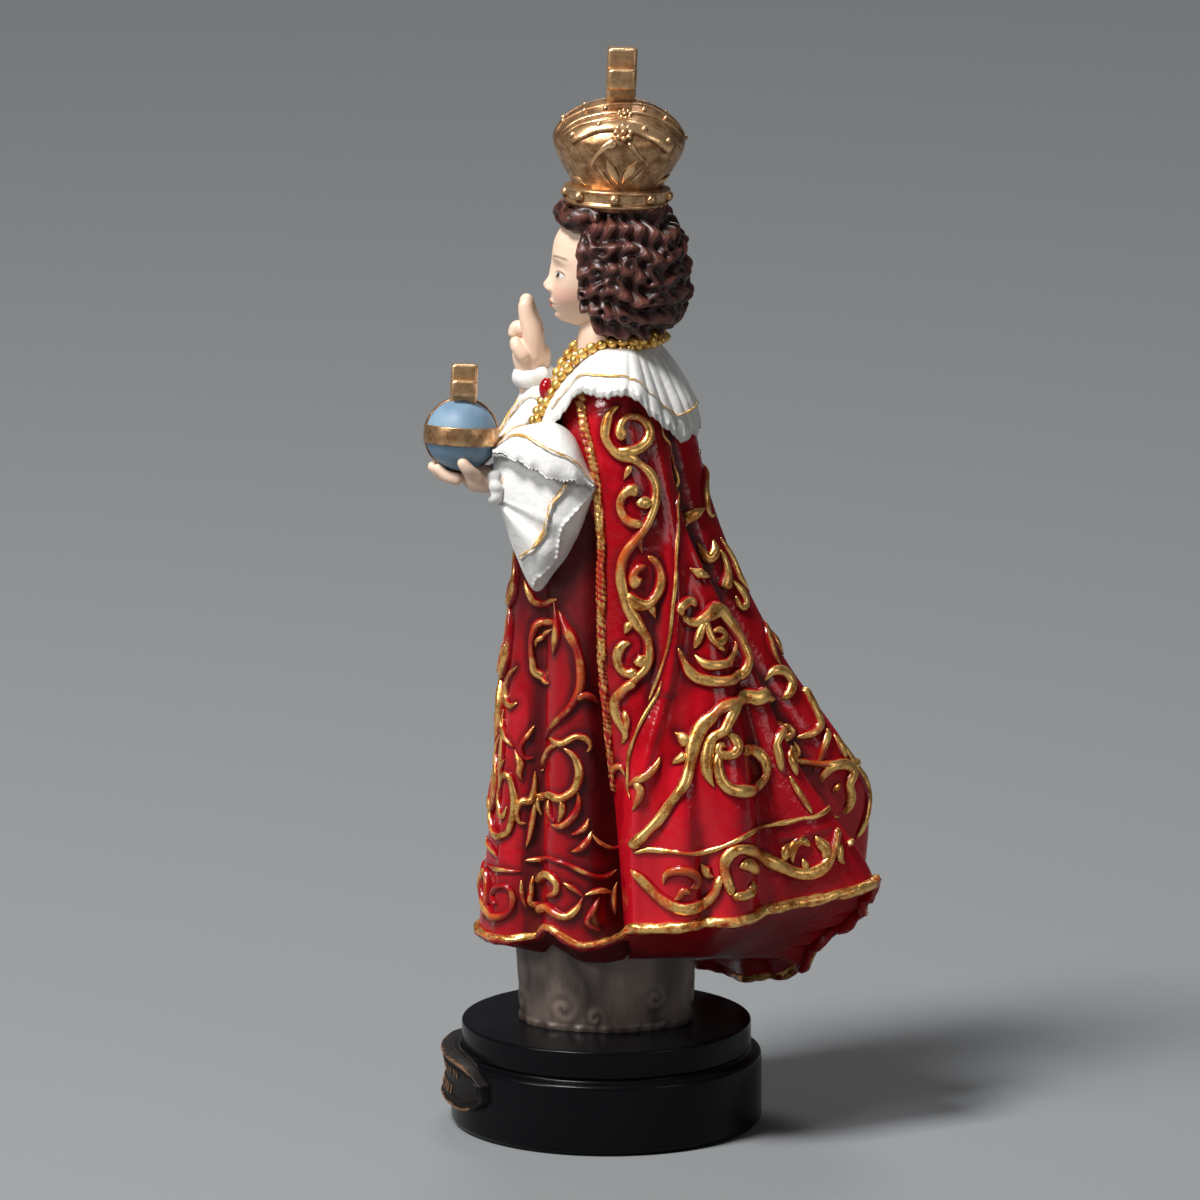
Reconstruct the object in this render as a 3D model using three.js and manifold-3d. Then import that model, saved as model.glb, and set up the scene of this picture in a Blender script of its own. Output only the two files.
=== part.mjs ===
// A cast resin figure of a crowned child in a flared robe and cape, standing on a stepped round base.
// Millimetres, +Z up. The origin is the centre of the base's underside, and the figure faces -Y.
// Heights inside the figure are measured from the top of the base, which it is glued to.
import * as THREE from "three";
import { mergeVertices } from "three/addons/utils/BufferGeometryUtils.js";
import Module from "manifold-3d";

const wasm = await Module();
wasm.setup();

// Stepped round base with a label plate on its front
const base = {
  lowerRadius: 29,
  lowerHeight: 13.4,
  upperRadius: 27,
  upperHeight: 6,
  edgeRound: 1.1,
  facets: 48,
};
const plate = {
  proud: 2.6, // how far its rim stands out from the lower tier
  sink: 0.9, // how much lower its field lies than its rim
  halfAngle: 41,
  bottom: 4.4,
  top: 14.6,
  rim: 1.1,
  endRound: 8, // how far from its ends it starts to narrow
  embed: 3,
  steps: 12,
};

// Bank of cloud under the robe
const cloud = { side: 12.6, depth: 17.2, height: 19, bulge: 0.07, lobes: 9, lobeDepth: 0.035 };

// Robes: dress and cape fall from a shared top, round a centre that moves back as they fall.
// Each rib is a crest or a valley of the cloth, given at five even steps from the top to the hem:
// turn is its angle from the front in degrees, reach its distance from the centre,
// and low the height of the hem there. The figure's left is at 90 degrees and its back at 180
const robe = { top: 121.6, centre: [4, 8], shoulderRise: 6 };
const cape = {
  hiddenReach: [7, 9, 11, 12.5, 14], // distance from the centre inside the dress, where it is open in front
  ceiling: 18.5, // height where its hollow underside meets the dress
  ceilingShare: 0.5,
};
const capeRibs = [
  { turn: [64, 72, 71.5, 75, 77], reach: [17, 19.5, 21.6, 21.2, 20.5], low: 22.2 },
  { turn: [78, 88, 85, 85, 85], reach: [16.6, 19.8, 22, 25.2, 26.2], low: 23.6 },
  { turn: [94, 103, 96, 92, 92], reach: [15, 19, 21.5, 27.3, 28.6], low: 24 },
  { turn: [104, 109, 113, 105, 98], reach: [14.6, 18.6, 24.8, 29.4, 29.8], low: 24.4 },
  { turn: [109, 114, 122, 116, 108], reach: [14.2, 18.4, 24.6, 29.6, 29.7], low: 25 },
  { turn: [112, 117, 128, 127, 118], reach: [13.9, 18.2, 24.7, 31, 31.6], low: 25.2 },
  { turn: [114, 119, 134, 139, 141], reach: [13.6, 17.9, 24.3, 29.8, 32.9], low: 26.6 },
  { turn: [117, 122, 140, 151.5, 167], reach: [13.4, 17.6, 24.8, 32.5, 42.6], low: 28.4 },
  { turn: [128, 132, 148, 158, 173], reach: [11, 14.2, 19.6, 27, 36.4], low: 24.6 },
  { turn: [164, 165.5, 173, 178.5, 181], reach: [11.2, 16, 26.4, 40.8, 40.4], low: 19.4 },
  { turn: [178, 180, 184.5, 187, 189], reach: [10.4, 13.2, 20.5, 32, 34], low: 14 },
  { turn: [190, 192, 195, 197, 197], reach: [11.2, 15.8, 25, 34, 32.6], low: 7 },
  { turn: [203, 205, 208, 209, 209], reach: [10.6, 14, 20.6, 27.5, 28], low: 4.4 },
  { turn: [218, 220, 223, 224, 225], reach: [12, 16.6, 24, 29, 30.8], low: 3.4 },
  { turn: [233, 236, 238, 239, 240], reach: [12, 15.4, 20.4, 24.6, 26.8], low: 3 },
  { turn: [248, 250, 252, 254, 256], reach: [13.6, 18, 23.6, 28, 30], low: 7.4 },
  { turn: [262, 265, 267, 268, 270], reach: [14.6, 18, 21.6, 25.4, 27.4], low: 14.4 },
  { turn: [280, 276, 277, 277, 277], reach: [16.6, 19.8, 22.6, 26, 27.6], low: 20 },
  { turn: [296, 288, 288.5, 286, 284], reach: [17, 19.5, 21.6, 21.4, 20.6], low: 20 },
];
const dress = { floor: 13 }; // height of its flat underside
const halfDressRibs = [
  { turn: [9, 12, 12, 12, 13], reach: [15, 20.4, 24.4, 27.4, 30.6], low: 16 },
  { turn: [21, 21, 22, 23, 24], reach: [14.8, 20, 23.6, 26, 28.8], low: 17.6 },
  { turn: [31, 31, 30, 30, 30], reach: [14, 18.4, 20.8, 22.4, 24.4], low: 15.6 },
  { turn: [46, 46, 46, 45, 45], reach: [14, 18.8, 21.6, 23.6, 25.6], low: 18.6 },
  { turn: [60, 60, 60, 60, 60], reach: [14, 18.8, 21.2, 22.8, 24.4], low: 19.2 },
  { turn: [76, 76, 76, 76, 76], reach: [13, 16.2, 17, 17.4, 17.6], low: 16 },
  { turn: [110, 110, 110, 110, 110], reach: [10, 12, 14, 16, 17.6], low: 14 },
  { turn: [150, 150, 150, 150, 150], reach: [9, 10.5, 12.5, 14, 15.6], low: 13.6 },
];
const mirroredRibs = halfDressRibs.map((rib) => ({ ...rib, turn: rib.turn.map((angle) => 360 - angle) }));
const dressRibs = [
  { turn: [0, 0, 0, 0, 0], reach: [15, 20.9, 25.1, 28.2, 31.8], low: 16.2 },
  ...halfDressRibs,
  ...mirroredRibs.reverse(),
];

// Pleated collar over the shoulders
const collar = {
  neckHeight: 129,
  neckRadius: 6.2,
  side: 18,
  back: 14.2,
  front: 15.5,
  sideHeight: 122,
  backHeight: 113.5,
  frontHeight: 112,
  thick: 1.7,
  pleats: 10,
  pleatDepth: 0.35,
};

// Bell sleeves, given by evenly spaced sections from the elbow to the wrist
const sleeve = {
  elbowY: -1,
  wristY: -20.8,
  top: [106, 113.5, 115.6, 115.4, 114.6, 111],
  bottom: [102, 92.5, 87, 86, 95.5, 103.5],
  outer: [18.5, 21, 21.5, 20.5, 18, 15.5],
  inner: [9, 7, 6, 6, 7.5, 10],
  raise: [0, 0, 0.6, 2.8, -1, -4], // how much higher the sleeve of the raised arm lies
};

// Head, neck and hair
const head = { y: 1.2, height: 143.4, side: 8.9, depth: 11, rise: 12.2, neckRadius: 5.3, jaw: 0.2 };
const hair = {
  y: 3,
  bottom: 128.6,
  top: 156.4,
  side: [9.5, 12.2, 12.8, 12.2, 9.6],
  back: [8.4, 12, 13, 12.4, 9.4],
  hairline: 62, // degrees from the front where the hair begins beside the face
  fringe: 150.6, // height of the curls over the forehead
  fringeReach: 12.4,
  waves: 7,
  waveDepth: 0.5,
};

// Crown, tilted back a little
const crown = {
  y: 1.9,
  foot: 155.6,
  tilt: 4,
  ringRadius: 9.3,
  ringHeight: 3.5,
  waistRadius: 8.7,
  bulbRadius: 12.2,
  bulbHeight: 10.6, // of its widest circle above the foot
  domeHeight: 18.2,
  facets: 20,
  studs: 8,
  studRadius: 0.75,
  archWidth: 3.2,
  archThick: 0.6,
  crossThick: 5.4,
  crossHeight: 10.2,
  crossSpan: 10,
  crossBar: 4,
};

// Orb in the left hand and its cross
const orb = {
  at: [12, -26.6, 113.8],
  radius: 6.5,
  bandHeight: 3.2,
  bandThick: 0.45,
  tilt: 4,
  facets: 12,
  crossThick: 5,
  crossHeight: 7.4,
  crossSpan: 7.6,
  crossBar: 3.2,
};

// Hands as paths of [x, y, z, radius]
const wristRadius = 2.9;
const leftHand = {
  palm: [
    [13, -15, 105.4, wristRadius],
    [13, -19.5, 105.2, 2.8],
    [12.6, -23.4, 105.4, 3.1],
    [12.2, -26.8, 105.6, 2.5],
  ],
  fingers: [
    [[14.6, -26.4, 105.4, 1.25], [14.4, -29.4, 106.2, 1.15], [13.8, -31.6, 108.2, 0.95]],
    [[12.4, -26.8, 105.2, 1.25], [12.2, -30.2, 106, 1.15], [12, -32.7, 108.2, 0.95]],
    [[10.2, -26.4, 105.4, 1.2], [9.8, -29.6, 106.2, 1.1], [9.8, -31.6, 108.4, 0.9]],
    [[10.6, -24.4, 105.4, 1.2], [8, -27.6, 106.6, 1], [7, -29.2, 109, 0.85]],
    [[15.4, -23.4, 106, 1.35], [17.4, -25.4, 108, 1.25], [17.6, -27, 110.2, 1]],
  ],
};
const rightHand = {
  palm: [
    [-14.6, -13, 117, wristRadius],
    [-14.4, -14.2, 121, 2.5],
    [-14, -14.4, 124.6, 3],
    [-14, -14.8, 127.6, 2.7],
  ],
  fingers: [
    [[-12.6, -14.6, 127.2, 1.35], [-12.8, -15.3, 131.2, 1.25], [-13, -15.9, 134.4, 1]],
    [[-15, -14.8, 127.2, 1.35], [-14.9, -15.6, 131.6, 1.25], [-14.6, -16.2, 135, 1]],
    [[-15.2, -14.8, 126.6, 1.25], [-16.6, -17.4, 128.4, 1.2], [-16.2, -18, 126, 1.1]],
    [[-15.2, -14.6, 125, 1.2], [-17.4, -17, 126.2, 1.1], [-16.8, -17.6, 124.2, 1]],
    [[-12.4, -15.6, 123, 1.4], [-12.8, -18, 125.2, 1.25], [-14, -18.8, 127.2, 1.1]],
  ],
};

// Bead necklace round the neck and down the chest
const necklace = { radius: 0.95, neckReach: 8.6, height: 127.6, dropReach: 16, drop: 12, beads: 24 };

// Carved ornament: raised cords on the face of the cloth. A vine waves down from one height to another;
// a scroll is a spiral round its centre. Angles are from the front, heights from the base's top
const cord = { width: 2.1, rise: 0.8, buried: 0.5, scrollSteps: 7, vineSteps: 18 };
const capeVine = { at: 92, reach: 3.7, waves: 3.5, from: 116, to: 25 };
const capeScrolls = [
  { at: 117, z: 69, radius: 5.4, turns: 1.1, start: 160, hand: -1 },
  { at: 116, z: 43, radius: 6.4, turns: 1.1, start: 300, hand: -1 },
];
const dressScrolls = [
  { at: 24, z: 66, radius: 5, turns: 1.1, start: 200, hand: 1 },
  { at: 48, z: 42, radius: 5.4, turns: 1.1, start: 200, hand: 1 },
];

const finish = {
  figure: { color: 0xa01018, roughness: 0.3, metalness: 0 },
  base: { color: 0x0c0c0e, roughness: 0.45, metalness: 0 },
};

const degrees = Math.PI / 180;
const clamp = (x, low, high) => Math.min(high, Math.max(low, x));
const smooth = (x) => clamp(x, 0, 1) ** 2 * (3 - 2 * clamp(x, 0, 1));
const mix = (a, b, share) => a + (b - a) * share;

// Value at x of 0..1 on a smooth curve through evenly spaced values
function along(values, x) {
  const place = clamp(x, 0, 1) * (values.length - 1);
  const i = Math.min(Math.floor(place), values.length - 2);
  const s = place - i;
  const [a, b, c, d] = [i - 1, i, i + 1, i + 2].map((k) => values[clamp(k, 0, values.length - 1)]);
  return 0.5 * (2 * b + (c - a) * s + (2 * a - 5 * b + 4 * c - d) * s * s + (3 * b - a - 3 * c + d) * s ** 3);
}

// Radius of an ellipse whose half-axes are side (across) and depth (towards cos)
const ellipse = (angle, side, depth) => 1 / Math.hypot(Math.sin(angle) / side, Math.cos(angle) / depth);

// Reach and hem height of ribbed cloth at an angle and a fall of 0 at the top to 1 at the hem:
// crests are round and valleys creased, and both run smoothly down the cloth
function ribbed(ribs, angle, fall) {
  const at = ribs.map((rib) => along(rib.turn, fall));
  const turned = ((angle % 360) + 360) % 360;
  const found = at.findLastIndex((a) => a <= turned);
  const i = found < 0 ? ribs.length - 1 : found;
  const next = (i + 1) % ribs.length;
  const span = (at[next] - at[i] + 360) % 360;
  const share = ((turned - at[i] + 360) % 360) / span;
  const [from, to] = [along(ribs[i].reach, fall), along(ribs[next].reach, fall)];
  const eased = to > from ? Math.sin((share * Math.PI) / 2) : 1 - Math.cos((share * Math.PI) / 2);
  return {
    reach: mix(from, to, mix(smooth(share), eased, 0.6)),
    low: mix(ribs[i].low, ribs[next].low, smooth(share)),
  };
}

const centreAt = (fall) => mix(robe.centre[0], robe.centre[1], fall);

// The point at an angle from the front in degrees, a distance from the robes' centre and a height
function robePoint(angle, reach, fall, z) {
  const a = angle * degrees;
  return new THREE.Vector3(Math.sin(a) * reach, centreAt(fall) - Math.cos(a) * reach, z);
}

function clothPoint(ribs, angle, fall) {
  const { reach, low } = ribbed(ribs, angle, fall);
  return robePoint(angle, reach, fall, mix(robe.top, low, fall));
}

const frontHeavy = (x) => (x < 0.75 ? x * 0.72 : mix(0.54, 1, (x - 0.75) * 4));

// A manifold solid from rows of points. point(u, v) has u around and v along, both 0..1;
// the first and last rows are closed with a fan to their middle
function skin(sides, rows, point) {
  const points = [];
  for (let j = 0; j <= rows; j++)
    for (let i = 0; i < sides; i++) points.push(point(i / sides, j / rows));
  const middle = (row) => {
    const sum = new THREE.Vector3();
    for (let i = 0; i < sides; i++) sum.add(points[row * sides + i]);
    return sum.divideScalar(sides);
  };
  points.push(middle(0), middle(rows));
  const first = points.length - 2;
  const faces = [];
  for (let i = 0; i < sides; i++) {
    const k = (i + 1) % sides;
    faces.push(first, k, i, first + 1, rows * sides + i, rows * sides + k);
    for (let j = 0; j < rows; j++) {
      const [a, b, c, d] = [j * sides + i, j * sides + k, (j + 1) * sides + k, (j + 1) * sides + i];
      faces.push(a, b, c, a, c, d);
    }
  }
  return solid(points.flatMap((p) => p.toArray()), faces);
}

// A manifold solid from flat coordinates and faces, turned the right way out
function solid(coordinates, faces) {
  const at = (k) => new THREE.Vector3().fromArray(coordinates, 3 * k);
  let volume = 0;
  for (let i = 0; i < faces.length; i += 3)
    volume += at(faces[i]).dot(at(faces[i + 1]).cross(at(faces[i + 2])));
  if (volume < 0)
    for (let i = 0; i < faces.length; i += 3) [faces[i], faces[i + 1]] = [faces[i + 1], faces[i]];
  const mesh = new wasm.Mesh({
    numProp: 3,
    vertProperties: new Float32Array(coordinates),
    triVerts: new Uint32Array(faces),
  });
  return new wasm.Manifold(mesh);
}

// A three.js geometry as a manifold solid
function fromGeometry(geometry) {
  geometry.deleteAttribute("normal");
  geometry.deleteAttribute("uv");
  const merged = mergeVertices(geometry, 1e-4);
  return solid([...merged.attributes.position.array], [...merged.index.array]);
}

// A round limb along a smooth path of [x, y, z, radius], squashed in one direction where flat is under 1
function limb(path, sides, steps, flat = 1) {
  const curve = new THREE.CatmullRomCurve3(path.map((p) => new THREE.Vector3(p[0], p[1], p[2])));
  const radii = path.map((p) => p[3]);
  const frames = curve.computeFrenetFrames(steps, false);
  return skin(sides, steps, (u, v) => {
    const k = Math.round(v * steps);
    const end = v === 0 || v === 1 ? 0.6 : 1;
    const a = u * 2 * Math.PI;
    return curve
      .getPoint(v)
      .addScaledVector(frames.normals[k], Math.cos(a) * along(radii, v) * end)
      .addScaledVector(frames.binormals[k], Math.sin(a) * along(radii, v) * end * flat);
  });
}

function stepped() {
  const { lowerRadius, lowerHeight, upperRadius, upperHeight, edgeRound } = base;
  const top = lowerHeight + upperHeight;
  const profile = [
    [0, 0],
    [lowerRadius - edgeRound / 2, 0],
    [lowerRadius, edgeRound / 2],
    [lowerRadius, lowerHeight - edgeRound],
    [lowerRadius - edgeRound / 3, lowerHeight - edgeRound / 3],
    [lowerRadius - edgeRound, lowerHeight],
    [upperRadius, lowerHeight],
    [upperRadius, top - edgeRound / 3],
    [upperRadius - edgeRound / 3, top],
    [0, top],
  ];
  const round = new THREE.LatheGeometry(profile.map(([r, z]) => new THREE.Vector2(r, z)), base.facets);
  return fromGeometry(round.rotateX(Math.PI / 2));
}

// The plate is a bar with rounded ends, bent round the front of the lower tier, with a raised rim
function labelPlate() {
  const half = (plate.top - plate.bottom) / 2;
  const rimRadius = base.lowerRadius + plate.proud;
  const length = plate.halfAngle * degrees * base.lowerRadius;
  return skin(8, plate.steps, (u, v) => {
    const across = mix(-1, 1, v);
    const fromEnd = Math.max(0, length * (1 - Math.abs(across)));
    const tall = half * Math.sqrt(Math.max(0.12, 1 - (1 - clamp(fromEnd / plate.endRound, 0, 1)) ** 2));
    const field = rimRadius - plate.sink * smooth((fromEnd - plate.rim) / plate.rim);
    const section = [
      [base.lowerRadius - plate.embed, -tall],
      [rimRadius - 0.5, -tall],
      [rimRadius, 0.4 - tall],
      [field, Math.min(-0.1, plate.rim - tall)],
      [field, Math.max(0.1, tall - plate.rim)],
      [rimRadius, tall - 0.4],
      [rimRadius - 0.5, tall],
      [base.lowerRadius - plate.embed, tall],
    ];
    const [radius, up] = section[Math.round(u * 8) % 8];
    const turn = across * plate.halfAngle * degrees;
    return new THREE.Vector3(Math.sin(turn) * radius, -Math.cos(turn) * radius, plate.bottom + half + up);
  });
}

function makeCloud() {
  return skin(24, 4, (u, v) => {
    const a = u * 2 * Math.PI;
    const lobe = cloud.lobeDepth * Math.cos(cloud.lobes * a + 4 * v);
    const r = ellipse(a, cloud.side, cloud.depth) * (1 + cloud.bulge * Math.sin(v * Math.PI) + lobe);
    return new THREE.Vector3(Math.sin(a) * r, -Math.cos(a) * r, v * cloud.height);
  });
}

function makeDress() {
  const rows = 9;
  const total = rows + 2;
  return skin(30, total, (u, v) => {
    const row = Math.round(v * total);
    // three in four of its sides lie in the open front, and the rest under the cape
    const angle = u < 0.5 ? frontHeavy(u * 2) * 180 : 360 - frontHeavy(2 - u * 2) * 180;
    if (row <= rows) return clothPoint(dressRibs, angle, row / rows);
    const { reach, low } = ribbed(dressRibs, angle, 1);
    return row === rows + 1
      ? robePoint(angle, reach * 0.8, 1, low + 1.2)
      : robePoint(angle, reach * 0.3, 1, dress.floor);
  });
}

function makeCape() {
  const rows = 10;
  const under = 2;
  const total = 1 + rows + under;
  const sides = 50;
  const open = 4; // sides across the open front, where it drops inside the dress
  return skin(sides, total, (u, v) => {
    const row = Math.round(v * total) - 1;
    const fall = clamp(row / rows, 0, 1);
    const first = along(capeRibs[0].turn, fall);
    const last = along(capeRibs.at(-1).turn, fall);
    const i = Math.round(u * sides);
    const hidden = i > sides - open;
    const angle = hidden
      ? last + 2 + ((i - (sides - open) - 1) / (open - 2)) * (356 + first - last)
      : mix(first, last, i / (sides - open));
    const edge = ribbed(capeRibs, hidden ? first : angle, fall);
    const reach = hidden ? along(cape.hiddenReach, fall) : edge.reach;
    if (row < 0) return robePoint(angle, reach / 2, 0, robe.top + robe.shoulderRise);
    if (row <= rows) return robePoint(angle, reach, fall, mix(robe.top, edge.low, fall));
    const inward = (row - rows) / under;
    const share = mix(0.93, cape.ceilingShare, inward ** 2);
    return robePoint(angle, reach * share, 1, mix(edge.low + 2, cape.ceiling, inward));
  });
}

function makeCollar() {
  const { neckHeight, neckRadius, side, back, front, sideHeight, backHeight, frontHeight, thick } = collar;
  const rows = 5;
  return skin(30, rows, (u, v) => {
    const row = Math.round(v * rows);
    const a = u * 2 * Math.PI;
    const share = [0.1, 0.45, 0.78, 1, 0.96, 0.2][row];
    const edge = ellipse(a, side, Math.cos(a) > 0 ? front : back);
    const edgeHeight = mix(sideHeight, Math.cos(a) > 0 ? frontHeight : backHeight, Math.cos(a) ** 2);
    const pleat = 1 + (collar.pleatDepth / side) * Math.cos(collar.pleats * a) * (row === 3 ? 2 : 1);
    const r = mix(neckRadius, edge, share) * (row < 4 ? pleat : 1);
    const drop = mix(neckHeight, edgeHeight, Math.sin((share * Math.PI) / 2) ** 1.6);
    const z = drop - (row >= 4 ? thick : 0);
    return new THREE.Vector3(Math.sin(a) * r, centreAt(0) - 1.4 - Math.cos(a) * r, z);
  });
}

// hand is 1 for the left arm and -1 for the raised right arm
function makeSleeve(hand) {
  return skin(12, 7, (u, v) => {
    const a = u * 2 * Math.PI;
    const raise = hand < 0 ? along(sleeve.raise, v) : 0;
    const [top, bottom] = [along(sleeve.top, v) + raise, along(sleeve.bottom, v) + raise / 2];
    const [outer, inner] = [along(sleeve.outer, v), along(sleeve.inner, v)];
    const end = v === 0 || v === 1 ? 0.7 : 1;
    const x = (outer + inner) / 2 + ((outer - inner) / 2) * Math.sin(a) * end * (1 - 0.25 * Math.cos(a));
    const z = (top + bottom) / 2 + ((top - bottom) / 2) * Math.cos(a) * end;
    return new THREE.Vector3(hand * x, mix(sleeve.elbowY, sleeve.wristY, v), z);
  });
}

function makeHand({ palm, fingers }) {
  const parts = [limb(palm, 6, 3, 0.8), ...fingers.map((finger) => limb(finger, 4, 3))];
  return wasm.Manifold.union(parts);
}

function makeHead() {
  const skull = skin(14, 8, (u, v) => {
    const a = u * 2 * Math.PI;
    const polar = mix(0.1, Math.PI - 0.1, v);
    const level = Math.cos(polar); // 1 at the crown of the head, -1 under the chin
    const facing = Math.max(0, Math.cos(a)) ** 2;
    const jaw = 1 - head.jaw * smooth((-level - 0.1) / 0.8) * (1 - facing * 0.6);
    const nose = 1.7 * Math.max(0, Math.cos(a)) ** 40 * Math.exp(-(((level + 0.28) / 0.16) ** 2));
    const chin = 0.9 * Math.max(0, Math.cos(a)) ** 10 * Math.exp(-(((level + 0.82) / 0.16) ** 2));
    const brow = 0.3 * facing * Math.exp(-(((level - 0.12) / 0.14) ** 2));
    const r = Math.sin(polar) * jaw;
    const out = head.depth * r + nose + chin + brow;
    return new THREE.Vector3(
      Math.sin(a) * head.side * r,
      head.y - Math.cos(a) * out,
      head.height + level * head.rise,
    );
  });
  const neckFoot = robe.top;
  const neckPath = [
    [0, 2.4, neckFoot, head.neckRadius + 1.1],
    [0, 1.8, neckFoot + 7, head.neckRadius],
    [0, 1.6, head.height - 8, head.neckRadius],
  ];
  const neck = limb(neckPath, 8, 2);
  return skull.add(neck);
}

function makeHair() {
  return skin(22, 11, (u, v) => {
    const a = u * 2 * Math.PI;
    const turn = Math.abs(u * 360 > 180 ? 360 - u * 360 : u * 360);
    const z = mix(hair.top, hair.bottom, v);
    const beside = smooth((turn - hair.hairline + 12) / 14);
    const wave = hair.waveDepth * Math.cos(hair.waves * 2 * Math.PI * v + 1.5 * Math.sin(9 * a));
    const full = ellipse(a, along(hair.side, v), Math.cos(a) > 0 ? along(hair.side, v) : along(hair.back, v));
    const fringe = smooth((z - hair.fringe) / 1.5) * Math.max(0, Math.cos(a));
    const inside = mix(6.5, hair.fringeReach, Math.max(0, fringe));
    const r = mix(inside, full + wave, z > hair.fringe + 1 ? Math.max(beside, 1 - fringe) : beside);
    return new THREE.Vector3(Math.sin(a) * r, hair.y - Math.cos(a) * r, z);
  });
}

// A cross of square bars that faces the front, standing on z = 0
function cross(height, span, bar, thick) {
  const post = new THREE.BoxGeometry(bar, thick, height).translate(0, 0, height / 2);
  const arms = new THREE.BoxGeometry(span, thick, bar).translate(0, 0, height - bar * 1.35);
  return fromGeometry(post).add(fromGeometry(arms));
}

function makeCrown() {
  const { ringRadius, ringHeight, waistRadius, bulbRadius, bulbHeight, domeHeight, facets } = crown;
  const rise = domeHeight - bulbHeight;
  const profile = [
    [0, -1.2],
    [ringRadius - 0.6, -1.2],
    [ringRadius - 0.1, 0],
    [ringRadius + 0.35, 0.5],
    [ringRadius, 1],
    [ringRadius, ringHeight - 0.8],
    [ringRadius + 0.35, ringHeight - 0.4],
    [ringRadius, ringHeight],
    [waistRadius, ringHeight + 0.2],
    [mix(waistRadius, bulbRadius, 0.62), mix(ringHeight, bulbHeight, 0.4)],
    [mix(waistRadius, bulbRadius, 0.92), mix(ringHeight, bulbHeight, 0.75)],
    [bulbRadius, bulbHeight],
    [bulbRadius * 0.97, bulbHeight + rise * 0.22],
    [bulbRadius * 0.83, bulbHeight + rise * 0.54],
    [bulbRadius * 0.55, bulbHeight + rise * 0.84],
    [0, domeHeight],
  ];
  const lathe = new THREE.LatheGeometry(profile.map(([r, z]) => new THREE.Vector2(r, z)), facets);
  const parts = [fromGeometry(lathe.rotateX(Math.PI / 2))];
  for (let k = 0; k < crown.studs; k++) {
    const a = (k / crown.studs) * 2 * Math.PI;
    const stud = new THREE.SphereGeometry(crown.studRadius, 5, 3);
    stud.translate(Math.sin(a) * ringRadius, -Math.cos(a) * ringRadius, ringHeight / 2);
    parts.push(fromGeometry(stud));
  }
  const thick = crown.archThick;
  const archPath = new THREE.Path().absellipse(0, bulbHeight, bulbRadius + thick, rise + thick, 0, Math.PI);
  const arch = new THREE.Shape(archPath.getPoints(8));
  const archSolid = new THREE.ExtrudeGeometry(arch, { depth: crown.archWidth, bevelEnabled: false });
  archSolid.translate(0, 0, -crown.archWidth / 2).rotateX(Math.PI / 2).rotateZ(Math.PI / 2);
  parts.push(fromGeometry(archSolid));
  const top = cross(crown.crossHeight, crown.crossSpan, crown.crossBar, crown.crossThick);
  parts.push(top.translate([0, 0, domeHeight - 0.6]));
  return wasm.Manifold.union(parts).rotate([-crown.tilt, 0, 0]).translate([0, crown.y, crown.foot]);
}

function makeOrb() {
  const ball = fromGeometry(new THREE.SphereGeometry(orb.radius, orb.facets, 6).rotateX(Math.PI / 2));
  const band = new THREE.CylinderGeometry(
    orb.radius + orb.bandThick,
    orb.radius + orb.bandThick,
    orb.bandHeight,
    orb.facets,
  );
  const mark = cross(orb.crossHeight, orb.crossSpan, orb.crossBar, orb.crossThick);
  return ball
    .add(fromGeometry(band.rotateX(Math.PI / 2)))
    .add(mark.translate([0, 0, orb.radius - 1]))
    .rotate([-orb.tilt, 0, 0])
    .translate(orb.at);
}

// Two strands: one round the neck, one hanging on the chest
function makeNecklace() {
  const strand = (reach, drop) =>
    skin(4, necklace.beads, (u, v) => {
      const a = mix(-0.97, 0.97, v) * Math.PI + Math.PI;
      const front = Math.max(0, -Math.cos(a));
      const r = mix(necklace.neckReach, reach, front ** 1.5);
      const bead = necklace.radius * (Math.round(v * necklace.beads) % 2 ? 1 : 0.75);
      const t = u * 2 * Math.PI;
      const out = r + Math.cos(t) * bead;
      const z = necklace.height - drop * front ** 2 + Math.sin(t) * bead;
      return new THREE.Vector3(Math.sin(a) * out * (1 - 0.25 * front), 2 + Math.cos(a) * out, z);
    });
  return strand(necklace.dropReach, necklace.drop);
}

// A raised cord on the cloth along a path, whose points are [millimetres across from the angle at, height]
function carve(ribs, at, steps, path) {
  const place = (s) => {
    const [across, z] = path(clamp(s, 0, 1));
    const fall = clamp((robe.top - z) / (robe.top - ribbed(ribs, at, 1).low), 0.02, 0.985);
    const here = clothPoint(ribs, at, fall);
    const angle = at + across / clothPoint(ribs, at + 1, fall).distanceTo(here);
    const p = clothPoint(ribs, angle, fall);
    const aside = clothPoint(ribs, angle + 0.5, fall).sub(p);
    const down = clothPoint(ribs, angle, fall + 0.005).sub(p);
    return { p, out: down.cross(aside).normalize() };
  };
  return skin(3, steps, (u, v) => {
    const { p, out } = place(v);
    const ahead = place(v + 0.01).p.sub(place(v - 0.01).p).normalize();
    const aside = ahead.cross(out).normalize();
    const taper = Math.sqrt(Math.sin(Math.PI * mix(0.12, 0.88, v)));
    const [side, lift] = [[1, -cord.buried], [0, cord.rise], [-1, -cord.buried]][Math.round(u * 3)];
    return p.addScaledVector(aside, (side * taper * cord.width) / 2).addScaledVector(out, lift);
  });
}

const makeScroll = (ribs, { at, z, radius, turns, start, hand }) =>
  carve(ribs, at, cord.scrollSteps, (s) => {
    const a = (start + hand * s * turns * 360) * degrees;
    const r = radius * mix(1, 0.22, s);
    return [r * Math.cos(a), z + r * Math.sin(a)];
  });

const makeVine = (ribs, { at, reach, waves, from, to }, hand) =>
  carve(ribs, at, cord.vineSteps, (s) => {
    return [hand * reach * Math.sin(2 * Math.PI * waves * s), mix(from, to, s)];
  });

const mirrored = (list) => list.map((s) => ({ ...s, at: 360 - s.at, start: 180 - s.start, hand: -s.hand }));

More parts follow.
